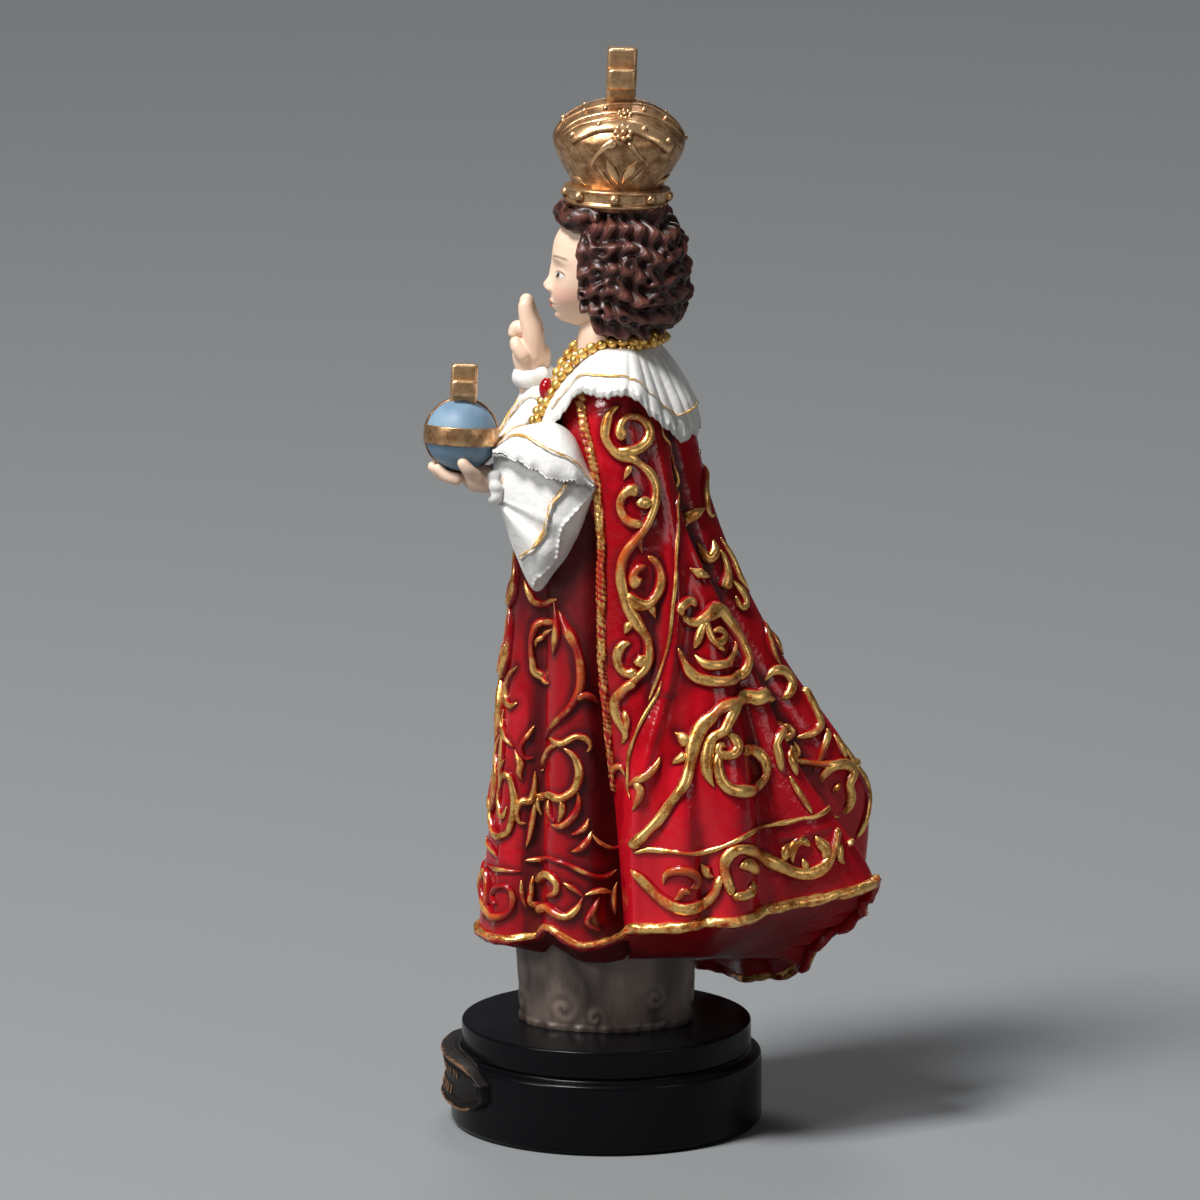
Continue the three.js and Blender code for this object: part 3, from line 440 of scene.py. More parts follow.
# Carved scrolls
# Every stroke is drawn on an enlargement of the side view: corner is where the enlargement starts in
# the 1200 pixel picture, and scale its pixels per pixel. A stroke has its half widths in millimetres,
# from start to end, and its points as pairs across and down. The strokes are laid on the cloth through the camera.
capeSheets = [
    {"corner": (590, 400), "scale": 300 / 1568, "strokes": [
        ([0.5, 0.8, 0.8, 0.75, 0.8, 0.75, 0.8, 0.8, 0.75, 0.8, 0.8, 0.75, 0.75], [150, 10, 110, 60, 90, 130, 85, 190,
         110, 250, 160, 290, 210, 300, 260, 340, 310, 390, 340, 450, 340, 520, 320, 590, 290, 660, 250, 720, 200, 780,
         170, 850, 165, 930, 180, 1010, 200, 1080, 230, 1140, 270, 1200, 300, 1260, 310, 1330, 290, 1400, 240, 1460,
         180, 1510, 150, 1568]),
        ([0.5, 0.8, 0.8, 0.75, 0.7, 0.7, 1.0], [130, 255, 190, 268, 250, 255, 295, 215, 310, 165, 285, 115, 235, 88,
         185, 92, 158, 130, 160, 175, 185, 195]),
        ([0.7, 0.3], [210, 340, 175, 420]),
        ([0.6, 0.85, 0.8, 0.75, 1.0], [285, 650, 235, 650, 185, 620, 160, 565, 168, 510, 205, 472, 250, 478]),
        ([0.5, 0.9, 0.7], [330, 540, 285, 535, 240, 535]),
        ([0.7, 0.3], [250, 720, 270, 800]),
        ([0.6, 0.85, 0.8, 0.8, 0.8, 0.75, 0.6], [185, 1000, 225, 1050, 275, 1075, 315, 1055, 355, 1000, 372, 930,
         350, 860, 300, 815]),
        ([0.6, 0.8, 1.2], [290, 870, 255, 880, 232, 910, 235, 950, 262, 965]),
        ([0.7, 0.3], [310, 1070, 345, 1140]),
        ([0.7, 0.4], [215, 1160, 180, 1220]),
        ([0.6, 0.85, 0.8, 0.8, 0.9], [215, 1275, 170, 1280, 145, 1330, 155, 1395, 200, 1430, 245, 1415]),
        ([0.5, 0.9, 0.6], [300, 1330, 265, 1365, 225, 1370]),
        ([0.3], [370, 130, 390, 200, 420, 280, 440, 350, 460, 430, 460, 500, 455, 560, 460, 640, 455, 720, 450, 800,
         450, 900, 445, 980, 435, 1080, 425, 1180, 410, 1280, 385, 1380, 350, 1470, 310, 1568]),
        ([0.6, 0.8, 0.7], [480, 1130, 470, 1090, 495, 1060, 530, 1050, 555, 1080]),
        ([0.7, 1.0, 1.1, 0.9, 0.8, 0.8, 0.9, 0.9, 0.8, 0.7, 0.5], [480, 1130, 510, 1155, 560, 1160, 600, 1140,
         640, 1110, 680, 1100, 720, 1150, 770, 1230, 810, 1310, 820, 1370, 790, 1430, 730, 1465, 660, 1475, 590, 1465,
         530, 1430, 490, 1370, 460, 1300]),
        ([0.7, 0.6, 0.5], [600, 1150, 580, 1210, 560, 1270, 545, 1300]),
        ([0.7, 0.6, 0.5], [600, 1150, 620, 1222, 650, 1270, 700, 1310]),
        ([0.6, 0.6, 0.6], [640, 1215, 665, 1200, 700, 1225, 690, 1260, 655, 1265, 635, 1240]),
        ([0.5, 0.7, 0.8, 0.7, 0.5], [550, 1330, 600, 1380, 660, 1385, 730, 1350, 760, 1300, 755, 1260]),
        ([0.4, 0.9, 0.4], [500, 660, 540, 600, 600, 560]),
        ([0.4, 0.6, 0.6, 0.4], [580, 260, 600, 400, 600, 500, 620, 600, 650, 600]),
        ([0.5, 0.8, 0.7, 0.4], [640, 730, 650, 790, 620, 830, 590, 800, 560, 740]),
        ([0.4, 0.7, 0.4], [520, 880, 570, 910, 620, 930]),
        ([0.5, 0.8, 1.2], [680, 780, 710, 880, 700, 990]),
        ([0.5, 0.6, 0.6, 0.5], [740, 940, 800, 1020, 810, 1080, 780, 1080, 760, 1020]),
        ([0.4, 0.6, 0.4], [680, 720, 740, 830, 780, 930, 840, 1000]),
        ([0.5, 0.7, 0.5], [920, 1150, 930, 1230, 960, 1330, 1000, 1390]),
        ([0.4, 0.6, 0.4], [940, 1180, 970, 1270, 1010, 1330]),
        ([0.5, 0.8, 0.8, 0.6], [910, 1470, 950, 1420, 1010, 1420, 1050, 1470, 1040, 1530, 1000, 1560]),
    ]},
    {"corner": (590, 680), "scale": 300 / 1568, "strokes": [
        ([0.7, 0.8, 0.8, 0.7, 0.5], [240, 10, 180, 50, 140, 100, 135, 160, 160, 220, 190, 280, 170, 330]),
        ([0.6, 0.6, 0.4], [180, 160, 200, 230, 175, 320]),
        ([0.3], [375, 10, 350, 80, 300, 160, 260, 230, 230, 310, 205, 400, 200, 480, 200, 560, 215, 620]),
        ([0.4, 0.8, 0.8, 0.5], [365, 400, 350, 440, 300, 490, 240, 530, 200, 560]),
        ([0.7, 0.7, 0.4], [240, 530, 270, 580, 250, 640, 225, 680]),
        ([0.4, 0.7, 0.4], [100, 510, 130, 470, 165, 450, 185, 500]),
        ([0.6, 1.0, 1.1, 1.1, 1.0, 0.95, 0.9, 0.8, 0.7], [965, 100, 900, 85, 830, 85, 770, 110, 700, 140, 640, 190,
         590, 240, 555, 300, 535, 370, 520, 450, 500, 530, 460, 600, 420, 650, 370, 720, 310, 780, 250, 840, 215, 870]),
        ([0.3, 0.8, 0.9], [440, 270, 480, 300, 520, 340]),
        ([0.4, 0.7], [540, 240, 555, 280]),
        ([0.4, 0.7, 0.8], [430, 440, 470, 410, 510, 390]),
        ([0.6, 0.8, 0.8, 0.8, 0.8, 0.7, 0.5], [770, 100, 740, 180, 710, 240, 690, 270, 640, 300, 620, 360, 610, 430,
         620, 500, 650, 560]),
        ([0.5, 0.8, 0.8, 0.7, 0.6], [700, 270, 730, 290, 760, 320, 770, 360, 740, 390, 700, 395, 670, 370, 680, 340,
         710, 350]),
        ([0.6, 0.9, 1.0, 1.0, 0.9, 0.9, 0.8, 0.9], [670, 380, 665, 450, 690, 530, 740, 575, 800, 580, 860, 560,
         905, 510, 915, 450, 890, 400, 850, 370, 810, 370, 800, 395]),
        ([0.6, 0.9, 0.8, 0.6], [1010, 230, 985, 300, 985, 380, 1000, 480]),
        ([0.6, 0.8, 0.7, 0.6], [1010, 230, 1040, 300, 1045, 370, 1060, 440, 1080, 500]),
        ([0.5, 0.7, 0.5], [1060, 320, 1090, 380, 1110, 430, 1140, 480]),
        ([0.5, 0.7, 0.5], [1040, 500, 1080, 580, 1120, 640, 1160, 700]),
        ([0.5, 0.8, 0.9, 0.7], [1070, 300, 1130, 290, 1180, 270, 1200, 220, 1160, 130, 1110, 40]),
        ([0.6, 0.7, 0.4], [1240, 250, 1220, 350, 1190, 430, 1170, 480]),
        ([0.5, 0.7, 0.4], [1270, 280, 1310, 360, 1340, 420]),
        ([0.5, 0.7, 0.8, 0.8, 0.7, 0.6], [1210, 540, 1220, 490, 1270, 450, 1330, 440, 1370, 480, 1350, 540, 1360, 600,
         1350, 660, 1320, 700]),
        ([0.9, 0.9], [1280, 550, 1300, 570]),
        ([0.5, 0.7, 0.7, 0.5], [1270, 280, 1380, 440, 1440, 560, 1450, 650, 1430, 740, 1390, 830]),
        ([0.4], [225, 905, 300, 885, 380, 890, 480, 905, 580, 905, 660, 885, 740, 850, 830, 800, 920, 765, 1010, 745,
         1110, 720, 1200, 705, 1300, 715]),
        ([0.6, 0.9, 1.0, 1.0, 0.95, 0.9, 0.6], [215, 990, 270, 1040, 330, 1100, 400, 1160, 470, 1195, 540, 1195,
         610, 1160, 655, 1110, 675, 1050, 690, 1020]),
        ([0.4, 0.8, 0.5], [575, 960, 610, 1010, 650, 1030]),
        ([0.5, 0.8, 0.9, 0.9, 0.6], [385, 1070, 400, 1020, 450, 995, 510, 1000, 550, 1030, 555, 1070, 520, 1090]),
        ([0.6, 0.8, 0.5], [520, 1120, 490, 1100, 470, 1130, 440, 1150]),
        ([0.6, 0.9, 0.9, 0.9, 0.9, 0.95, 0.95, 0.9, 0.8, 0.7], [740, 1130, 725, 1060, 705, 980, 720, 920, 770, 885,
         830, 890, 890, 920, 960, 955, 1030, 990, 1090, 1010, 1150, 1010, 1220, 980, 1260, 920, 1280, 840, 1290, 770]),
        ([0.6, 0.8, 0.8, 0.7], [780, 980, 800, 965, 830, 970, 870, 1005]),
        ([0.6, 0.8, 0.8, 0.7], [850, 1050, 840, 1110, 790, 1130, 740, 1130]),
        ([0.6, 0.8, 0.5], [1010, 950, 1020, 890, 1045, 850]),
        ([0.5, 0.8, 0.8, 0.6], [1060, 960, 1050, 900, 1070, 850, 1110, 840, 1150, 870]),
        ([0.4, 0.7, 0.4], [1110, 930, 1130, 1000]),
        ([0.5, 0.8, 0.8, 0.6], [1180, 810, 1200, 850, 1230, 890, 1210, 940]),
        ([0.9, 0.9], [1340, 840, 1360, 865]),
        ([0.6, 0.7, 0.5], [1300, 850, 1300, 930, 1330, 960]),
    ]},
]
dressSheets = [
    {"corner": (470, 560), "scale": 1 / 3.75, "strokes": [
        ([0.4, 0.6, 0.6, 0.4], [205, 75, 225, 120, 245, 160, 290, 165, 330, 150]),
        ([0.3, 0.6, 0.5], [318, 150, 328, 220, 330, 290, 315, 355]),
        ([0.4, 0.7, 0.7, 0.65, 0.6, 0.6, 0.5, 0.4], [335, 190, 370, 265, 400, 335, 415, 400, 415, 470, 395, 520,
         360, 570, 315, 620, 285, 670]),
        ([0.5, 0.6, 0.55, 0.55, 0.6, 0.4], [335, 240, 280, 232, 240, 262, 232, 320, 236, 380, 262, 430, 298, 462]),
        ([0.3, 0.5, 0.4], [312, 262, 270, 290, 248, 330]),
        ([0.6, 0.6, 0.35], [395, 520, 430, 505, 462, 518, 475, 535]),
        ([0.4, 0.5, 0.5, 0.4], [180, 400, 150, 440, 140, 500, 150, 548, 178, 538]),
        ([0.3, 0.5, 0.4], [130, 560, 124, 620, 140, 670, 168, 705]),
        ([0.4, 0.4], [116, 650, 104, 720, 100, 780]),
        ([0.35, 0.5, 0.5, 0.4], [245, 622, 215, 660, 190, 700, 205, 745, 240, 742]),
        ([0.35, 0.5, 0.5, 0.4], [170, 712, 192, 760, 184, 800, 202, 832]),
        ([0.4, 0.45, 0.5, 0.5, 0.5, 0.45, 0.4, 0.35], [132, 750, 104, 800, 90, 880, 84, 960, 98, 1030, 140, 1025,
         164, 950, 165, 870, 146, 805, 122, 830, 112, 900, 122, 965, 140, 925]),
        ([0.3, 0.5, 0.55, 0.5, 0.5, 0.4], [300, 668, 340, 690, 390, 662, 430, 668, 452, 698, 438, 722]),
        ([0.5, 0.5, 0.4], [335, 690, 290, 730, 268, 792]),
        ([0.5, 0.6, 0.6, 0.6, 0.6, 0.55, 0.4], [345, 700, 390, 735, 410, 790, 400, 845, 368, 880, 318, 890, 272, 884,
         244, 862]),
        ([0.5, 0.4, 0.3], [252, 885, 256, 930, 270, 962]),
        ([0.5, 0.5, 0.3], [298, 895, 302, 950, 322, 985]),
        ([0.5, 0.5, 0.3], [342, 893, 350, 940, 332, 990]),
        ([0.4, 0.6, 0.6, 0.4], [404, 868, 410, 920, 380, 968, 340, 1000, 308, 992]),
        ([0.4, 0.5, 0.5, 0.3], [246, 890, 240, 960, 226, 1022, 208, 1080]),
        ([0.35, 0.5, 0.5, 0.5, 0.4], [246, 790, 242, 860, 228, 905, 196, 902, 176, 935, 184, 980, 212, 988]),
        ([0.35, 0.5, 0.35], [445, 968, 430, 1002, 402, 1024, 378, 1030]),
        ([0.35, 0.6, 0.4], [455, 1012, 442, 1052, 418, 1082, 380, 1094]),
        ([0.3, 0.3, 0.3, 0.3], [452, 1022, 482, 1060, 540, 1080, 578, 1062, 592, 1022]),
        ([0.4], [208, 1125, 300, 1118, 360, 1140, 420, 1168, 500, 1192, 548, 1160]),
        ([0.35], [62, 1135, 120, 1160, 198, 1166]),
        ([0.4, 0.55, 0.6, 0.6, 0.6, 0.5, 0.5, 0.6], [62, 1165, 50, 1220, 56, 1290, 90, 1338, 138, 1328, 160, 1280,
         148, 1232, 110, 1222, 86, 1255, 100, 1290]),
        ([0.35, 0.45, 0.35], [190, 1200, 198, 1262, 212, 1306]),
        ([0.4, 0.55, 0.65, 0.65, 0.6, 0.45], [238, 1185, 230, 1245, 262, 1300, 330, 1330, 398, 1312, 424, 1268]),
        ([0.4, 0.6, 0.6, 0.55, 0.5], [240, 1200, 288, 1180, 326, 1208, 320, 1252, 286, 1268]),
        ([0.3, 0.5, 0.4], [350, 1210, 396, 1238, 428, 1268]),
        ([0.3, 0.45, 0.3], [430, 1256, 480, 1240, 532, 1246]),
        ([0.4, 0.5, 0.45, 0.4], [482, 1262, 462, 1312, 438, 1362, 492, 1386]),
        ([0.3, 0.45, 0.45], [548, 1205, 532, 1262, 540, 1330]),
    ]},
]
# Scrolls down the dress's front, by angle and fall
frontStrokes = [
    ([0.4, 0.6, 0.6, 0.6, 0.5], [(4, 0.2), (9, 0.235), (8, 0.28), (3, 0.3), (2, 0.27), (5, 0.255)]),
    ([0.4, 0.6, 0.6, 0.5], [(3, 0.3), (9, 0.335), (10, 0.375), (5, 0.4), (3, 0.375), (6, 0.36)]),
    ([0.4, 0.6, 0.7, 0.6, 0.5], [(4, 0.4), (10, 0.44), (9, 0.5), (3, 0.53), (2, 0.49), (5, 0.475)]),
    ([0.4, 0.65, 0.65, 0.5], [(2, 0.53), (7, 0.58), (6, 0.64), (2, 0.66)]),
    ([0.4, 0.6, 0.6, 0.6, 0.5], [(2, 0.66), (8, 0.69), (9, 0.74), (4, 0.77), (2, 0.735), (5, 0.72)]),
    ([0.35, 0.5, 0.35], [(10, 0.6), (13, 0.66), (11, 0.73)]),
    ([0.4], [(0, 0.83), (8, 0.835), (16, 0.845)]),
    ([0.5, 0.6, 0.6, 0.5], [(1, 0.94), (5, 0.88), (10, 0.9), (10, 0.95), (6, 0.955)]),
]
relief = {
    "height": 0.95, "widen": 1.35, "step": 0.42, "skirt": 1.16, "sunk": 0.25, "round": 2.2, "points": 13,
    "uneven": 0.18, "ropeAround": 14, "ropeStep": 0.24,
}


# Catmull-Rom path through rows of numbers, a given count of samples to each span
def curvedRows(rows, each):
    rows = np.asarray(rows, float)
    return along(rows.T, np.linspace(0, 1, (len(rows) - 1) * each + 1)).T


# A path with its small steps evened out, its ends kept
def eased(path, reach=4):
    weights = np.hanning(2 * reach + 3)[1:-1]
    weights /= weights.sum()
    padded = np.concatenate([2 * path[:1] - path[reach:0:-1], path, 2 * path[-1:] - path[-2 : -reach - 2 : -1]])
    return np.stack([np.convolve(column, weights, "valid") for column in padded.T], axis=1)


# The angle and fall of the surface seen at pixels: of the places that the camera sees close to a pixel,
# the one in front is taken
def layOnSurface(sample, pixels):
    across, down, ahead = sample["across"], sample["down"], sample["ahead"]
    found = []
    for part in np.array_split(pixels, max(1, len(pixels) // 40)):
        cost = (across - part[:, :1]) ** 2 + (down - part[:, 1:]) ** 2 - 0.15 * ahead
        found.append(cost.argmin(1))
    found = np.concatenate(found)
    return np.stack([sample["angle"][found], sample["fall"][found]], axis=1)


def strokesOnSurface(surface, sheets, fromAngle, toAngle):
    angle, fall = np.meshgrid(np.linspace(fromAngle, toAngle, 340), np.linspace(0.02, 0.985, 420))
    angle, fall = angle.ravel(), fall.ravel()
    points = surface(angle, fall)
    across, down = seenAt(points)
    sample = {"angle": angle, "fall": fall, "across": across, "down": down, "ahead": points[:, 0]}
    laid = []
    for sheet in sheets:
        for widths, marks in sheet["strokes"]:
            pixels = np.array(sheet["corner"]) + np.reshape(marks, (-1, 2)) * sheet["scale"]
            laid.append((widths, layOnSurface(sample, pixels)))
    return laid


def mirroredStrokes(strokes, upTo):
    turned = [(widths, np.stack([360 - path[:, 0], path[:, 1]], axis=1)) for widths, path in strokes]
    return [stroke for stroke, (widths, path) in zip(turned, strokes) if path[:, 0].mean() < upTo]


# Raised cords that hug the cloth. A stroke's path is cut into even steps; at each step the section runs
# across the path on the cloth itself, and stands out from it by the height of a half circle.
def carvedCords(surface, strokes, height=relief["height"], paint=0.9):
    cross = np.linspace(-relief["skirt"], relief["skirt"], relief["points"] - 2)
    lifted = np.sqrt(np.clip(1 - np.abs(cross) ** relief["round"], 0, 1))
    shapes, centres = [], []
    for widths, rows in strokes:
        path = eased(curvedRows(rows, 10))
        points = surface(path[:, 0], path[:, 1])
        run = lengthAlong(points)
        count = max(6, int(run[-1] / relief["step"]))
        even = np.linspace(0, run[-1], count)
        angle, fall = (np.interp(even, run, path[:, k]) for k in (0, 1))
        points = surface(angle, fall)
        ahead = unit(np.gradient(points, axis=0))
        out = outwardOf(surface, angle, fall, 1.6)
        aside = np.cross(ahead, out)
        turnStep, fallStep = 0.4, 0.004
        perTurn = (surface(angle + turnStep, fall) - points) / turnStep
        perFall = (surface(angle, fall + fallStep) - points) / fallStep
        gram = [[(a * b).sum(1) for b in (perTurn, perFall)] for a in (perTurn, perFall)]
        wanted = [(aside * a).sum(1) for a in (perTurn, perFall)]
        area = np.maximum(gram[0][0] * gram[1][1] - gram[0][1] ** 2, 1e-6)
        turnAside = (wanted[0] * gram[1][1] - wanted[1] * gram[0][1]) / area
        fallAside = (wanted[1] * gram[0][0] - wanted[0] * gram[0][1]) / area
        widths = widths if len(widths) > 1 else widths * 2
        ends = 1
        for width, toEnd in ((widths[0], even), (widths[-1], run[-1] - even)):
            taper = 0.9 + 2.6 * smooth((0.7 - width) / 0.25) * min(1, run[-1] / 9)
            ends = ends * roundedEnd(toEnd / taper, 0.02)
        uneven = along(chance.uniform(-1, 1, max(3, int(run[-1] / 2.4))), even / run[-1])
        half = along(widths, even / run[-1]) * ends * relief["widen"] * (1 + relief["uneven"] * uneven)
        offset = half[:, None] * cross
        angles = angle[:, None] + turnAside[:, None] * offset
        falls = np.clip(fall[:, None] + fallAside[:, None] * offset, 0, 1)
        on = surface(angles.ravel(), falls.ravel()).reshape(*angles.shape, 3)
        outward = outwardOf(surface, angles.ravel(), falls.ravel()).reshape(on.shape)
        outward = unit(outward + out[:, None])
        tall = height * np.clip(half / 0.9, 0.3, 1.15)[:, None]
        lift = lifted * tall - relief["sunk"] * (np.abs(cross) >= 1)
        top = on + outward * lift[..., None]
        under = on[:, [-2, 1]] - outward[:, [-2, 1]] * 0.5
        section = np.concatenate([top, under], axis=1)
        painted = smooth((1.0 - np.abs(cross)) / 0.4) * (paint + 0.3 * uneven)[:, None]
        gilt = np.concatenate([painted, np.zeros((count, 2))], axis=1)
        shapes.append(gridShape(section, {"gilt": gilt}))
        centres.append(np.concatenate([points, half[:, None]], axis=1))
    return joined(shapes), np.concatenate(centres)


# How close places on the cloth are to a carved cord, 1 beside it and 0 at the reach
# The red lacquer darkens by it: painted shade in the crevice beside each cord, together with a dark wash pooled there.
def besideCords(points, centres, reach=1.5):
    close = []
    for part in np.array_split(points, max(1, len(points) // 3000)):
        low, high = part.min(0) - 3, part.max(0) + 3
        near = centres[((centres[:, :3] > low) & (centres[:, :3] < high)).all(1)]
        if not len(near):
            close.append(np.zeros(len(part)))
            continue
        apart = np.sqrt(((part[:, None, :] - near[None, :, :3]) ** 2).sum(-1)) - near[:, 3]
        close.append(np.clip(1 - apart.min(1) / reach, 0, 1))
    return np.concatenate(close)


# A cord laid along points, as thick as radius times its taper. Ridges cross it a notch apart and lean round
# it by twist half turns; it swells unevenly, and its gold lies on the ridges, above and towards a direction.
def ropeShape(points, radius, notch, twist, depth, rough, taper=(1, 1), toward=None):
    around, step = relief["ropeAround"], relief["ropeStep"]
    run = lengthAlong(points)
    even = np.linspace(0, run[-1], max(8, int(run[-1] / step)))
    middle = pointsAt(even, run, points)
    ahead = unit(np.gradient(middle, axis=0))
    side = unit(np.cross(ahead, [0.3, 0.2, 1]))
    turn = fullTurn(around)
    lumps = along(chance.uniform(-1, 1, (around, max(4, int(run[-1] / 1.6)))), even / run[-1]).T
    ridge = np.abs(np.cos(twist * turn[None] - np.pi * even[:, None] / notch + 1.2 * lumps[:, :1])) ** 0.35
    ends = roundedEnd(np.minimum(even, run[-1] - even) / radius, 0.03) * along(taper, even / run[-1])
    swell = radius * (1 - depth + depth * ridge + rough * 0.4 * lumps) * ends[:, None]
    ring = circles(turn, side, np.cross(side, ahead))
    gilt = mix(1, 1.2 * ridge - 0.2, min(1, depth / 0.3)) + rough * np.minimum(lumps, 0.2)
    facing = ring[..., 2] * 0.8
    if toward is not None:
        facing = facing + (ring * pointsAt(even, run, toward)[:, None]).sum(-1)
    gilt = np.clip(gilt * smooth((facing + 0.4) / 0.6), 0, 1)
    return gridShape(middle[:, None] + ring * swell[..., None], {"gilt": gilt})


# Finishes
def redLacquer(start):
    flow = start.noise(90, 4, 0.6)
    fine = start.noise(520, 3, 0.6)
    low = start.stored("hollow")
    # Painted shade: the stored hollow darkens the red in fold valleys, under the hem and below the sleeves. Beside
    # darkens it in the crevices next to the cords, together with a dark wash pooled there. The noise adds darker
    # patches of tone.
    dark = (low * 0.9 + start.stored("beside") * 0.6 + (flow - 0.5) * 1.0).step(0.0, 0.95)
    deep = start.blend((0.31, 0.002, 0.006), (0.08, 0.0008, 0.003), dark)
    # Painted light: brighter red in patches of the noise, kept off the hollows so that it lies on the crests.
    light = (flow * 1.6 - 0.75 - low * 1.2).step(0, 0.4) * (1 - dark) * 0.95
    return {
        "Base Color": start.blend(deep, (0.49, 0.006, 0.015), light),
        "Roughness": 0.1 + fine * 0.1 + low.greater(0) * 0.4,
        "Specular IOR Level": 0.34,
        "Normal": start.bump(flow * 1.2 + start.noise(250, 3, 0.5) * 0.5 + fine * 0.16, 0.4, 0.0008),
    }


# Share of gold paint: full on the raised places, broken by fine wear and lost in patches
def goldOver(start, low, high):
    wear = start.noise(520, 5, 0.7)
    patch = start.noise(85, 3, 0.5)
    return (start.stored("gilt") + (wear - 0.5) * 1.2 + (patch - 0.5) * 2.4).step(low, high)


def carvedGold(start):
    gilt = goldOver(start, 0.35, 0.85)
    grain = start.noise(1500, 2, 0.6)
    speck = start.noise(330, 4, 0.65) + (start.noise(2300, 2, 0.5) - 0.5) * 0.4
    gold = start.blend((0.50, 0.145, 0.022), (1.0, 0.60, 0.19), speck.step(0.32, 0.58))
    under = start.blend((0.27, 0.003, 0.006), (0.46, 0.085, 0.014), start.stored("gilt").step(0.3, 0.9))
    return {
        "Base Color": start.blend(under, gold, gilt),
        "Metallic": gilt * 0.85,
        "Roughness": 0.14 + gilt * 0.12 + grain * 0.1,
        "Normal": start.bump(grain + start.noise(700, 3, 0.6), 0.3, 0.0001),
    }


def braidGold(start):
    gilt = goldOver(start, 0.45, 0.7)
    return {
        "Base Color": start.blend((0.70, 0.64, 0.55), (0.70, 0.38, 0.09), gilt),
        "Metallic": gilt * 0.5,
        "Roughness": 0.36,
        "Normal": start.bump(start.noise(1200, 3, 0.6), 0.3, 0.00015),
    }


def blackLacquer(start):
    grain = start.noise(900, 3, 0.6)
    flow = start.noise(60, 3, 0.5)
    return {
        "Base Color": start.blend((0.0015, 0.0015, 0.002), (0.004, 0.004, 0.005), flow),
        "Roughness": 0.14 + flow * 0.1 + grain * 0.08,
        "Specular IOR Level": 0.12,
        "Normal": start.bump(grain * 0.5 + flow, 0.2, 0.0002),
    }


def agedBronze(start):
    rub = (start.stored("gilt") * 0.8 + (start.noise(500, 4, 0.6) - 0.5) * 1.1).step(0.4, 0.85)
    return {
        "Base Color": start.blend((0.007, 0.005, 0.004), (0.38, 0.19, 0.095), rub),
        "Metallic": 0.2 + rub * 0.6,
        "Roughness": 0.5 - rub * 0.12,
        "Specular IOR Level": 0.25,
        "Normal": start.bump(start.noise(1100, 3, 0.6), 0.3, 0.0002),
    }


def cloudWashAndShade(start):
    streak = start.noise(1, 4, 0.6, start.stretched((230, 230, 60)))
    blot = (start.noise(120, 3, 0.5) - 0.5) * 0.8
    # Painted shade from the stored hollow in the cloud's valleys and grooves, with streaks and blots of a grey-brown
    # wash.
    washAndShade = (start.stored("hollow") * 0.7 + (streak - 0.5) * 1.2 + blot + 0.2).step(0, 0.9)
    return {
        "Base Color": start.blend((0.19, 0.14, 0.115), (0.045, 0.032, 0.027), washAndShade),
        "Roughness": 0.5,
        "Normal": start.bump(start.noise(420, 4, 0.6), 0.3, 0.0004),
    }


red = makeMaterial(redLacquer)
carved = makeMaterial(carvedGold)
braid = makeMaterial(braidGold)
black = makeMaterial(blackLacquer)
bronze = makeMaterial(agedBronze)
stone = makeMaterial(cloudWashAndShade)

# Cape and dress
capeGrid = {
    "near": 0.62, "nearColumns": 300, "farColumns": 130, "hiddenColumns": 6, "rows": 168, "lipRows": 16,
    "lipEven": 44, "steep": (198, 264),
}
capeHidden = [7, 9, 11, 12.5, 14]  # distance from the centre inside the dress, where the cape is open
dressGrid = {"open": 88, "frontColumns": 300, "backColumns": 24, "rows": 150, "floor": 13}


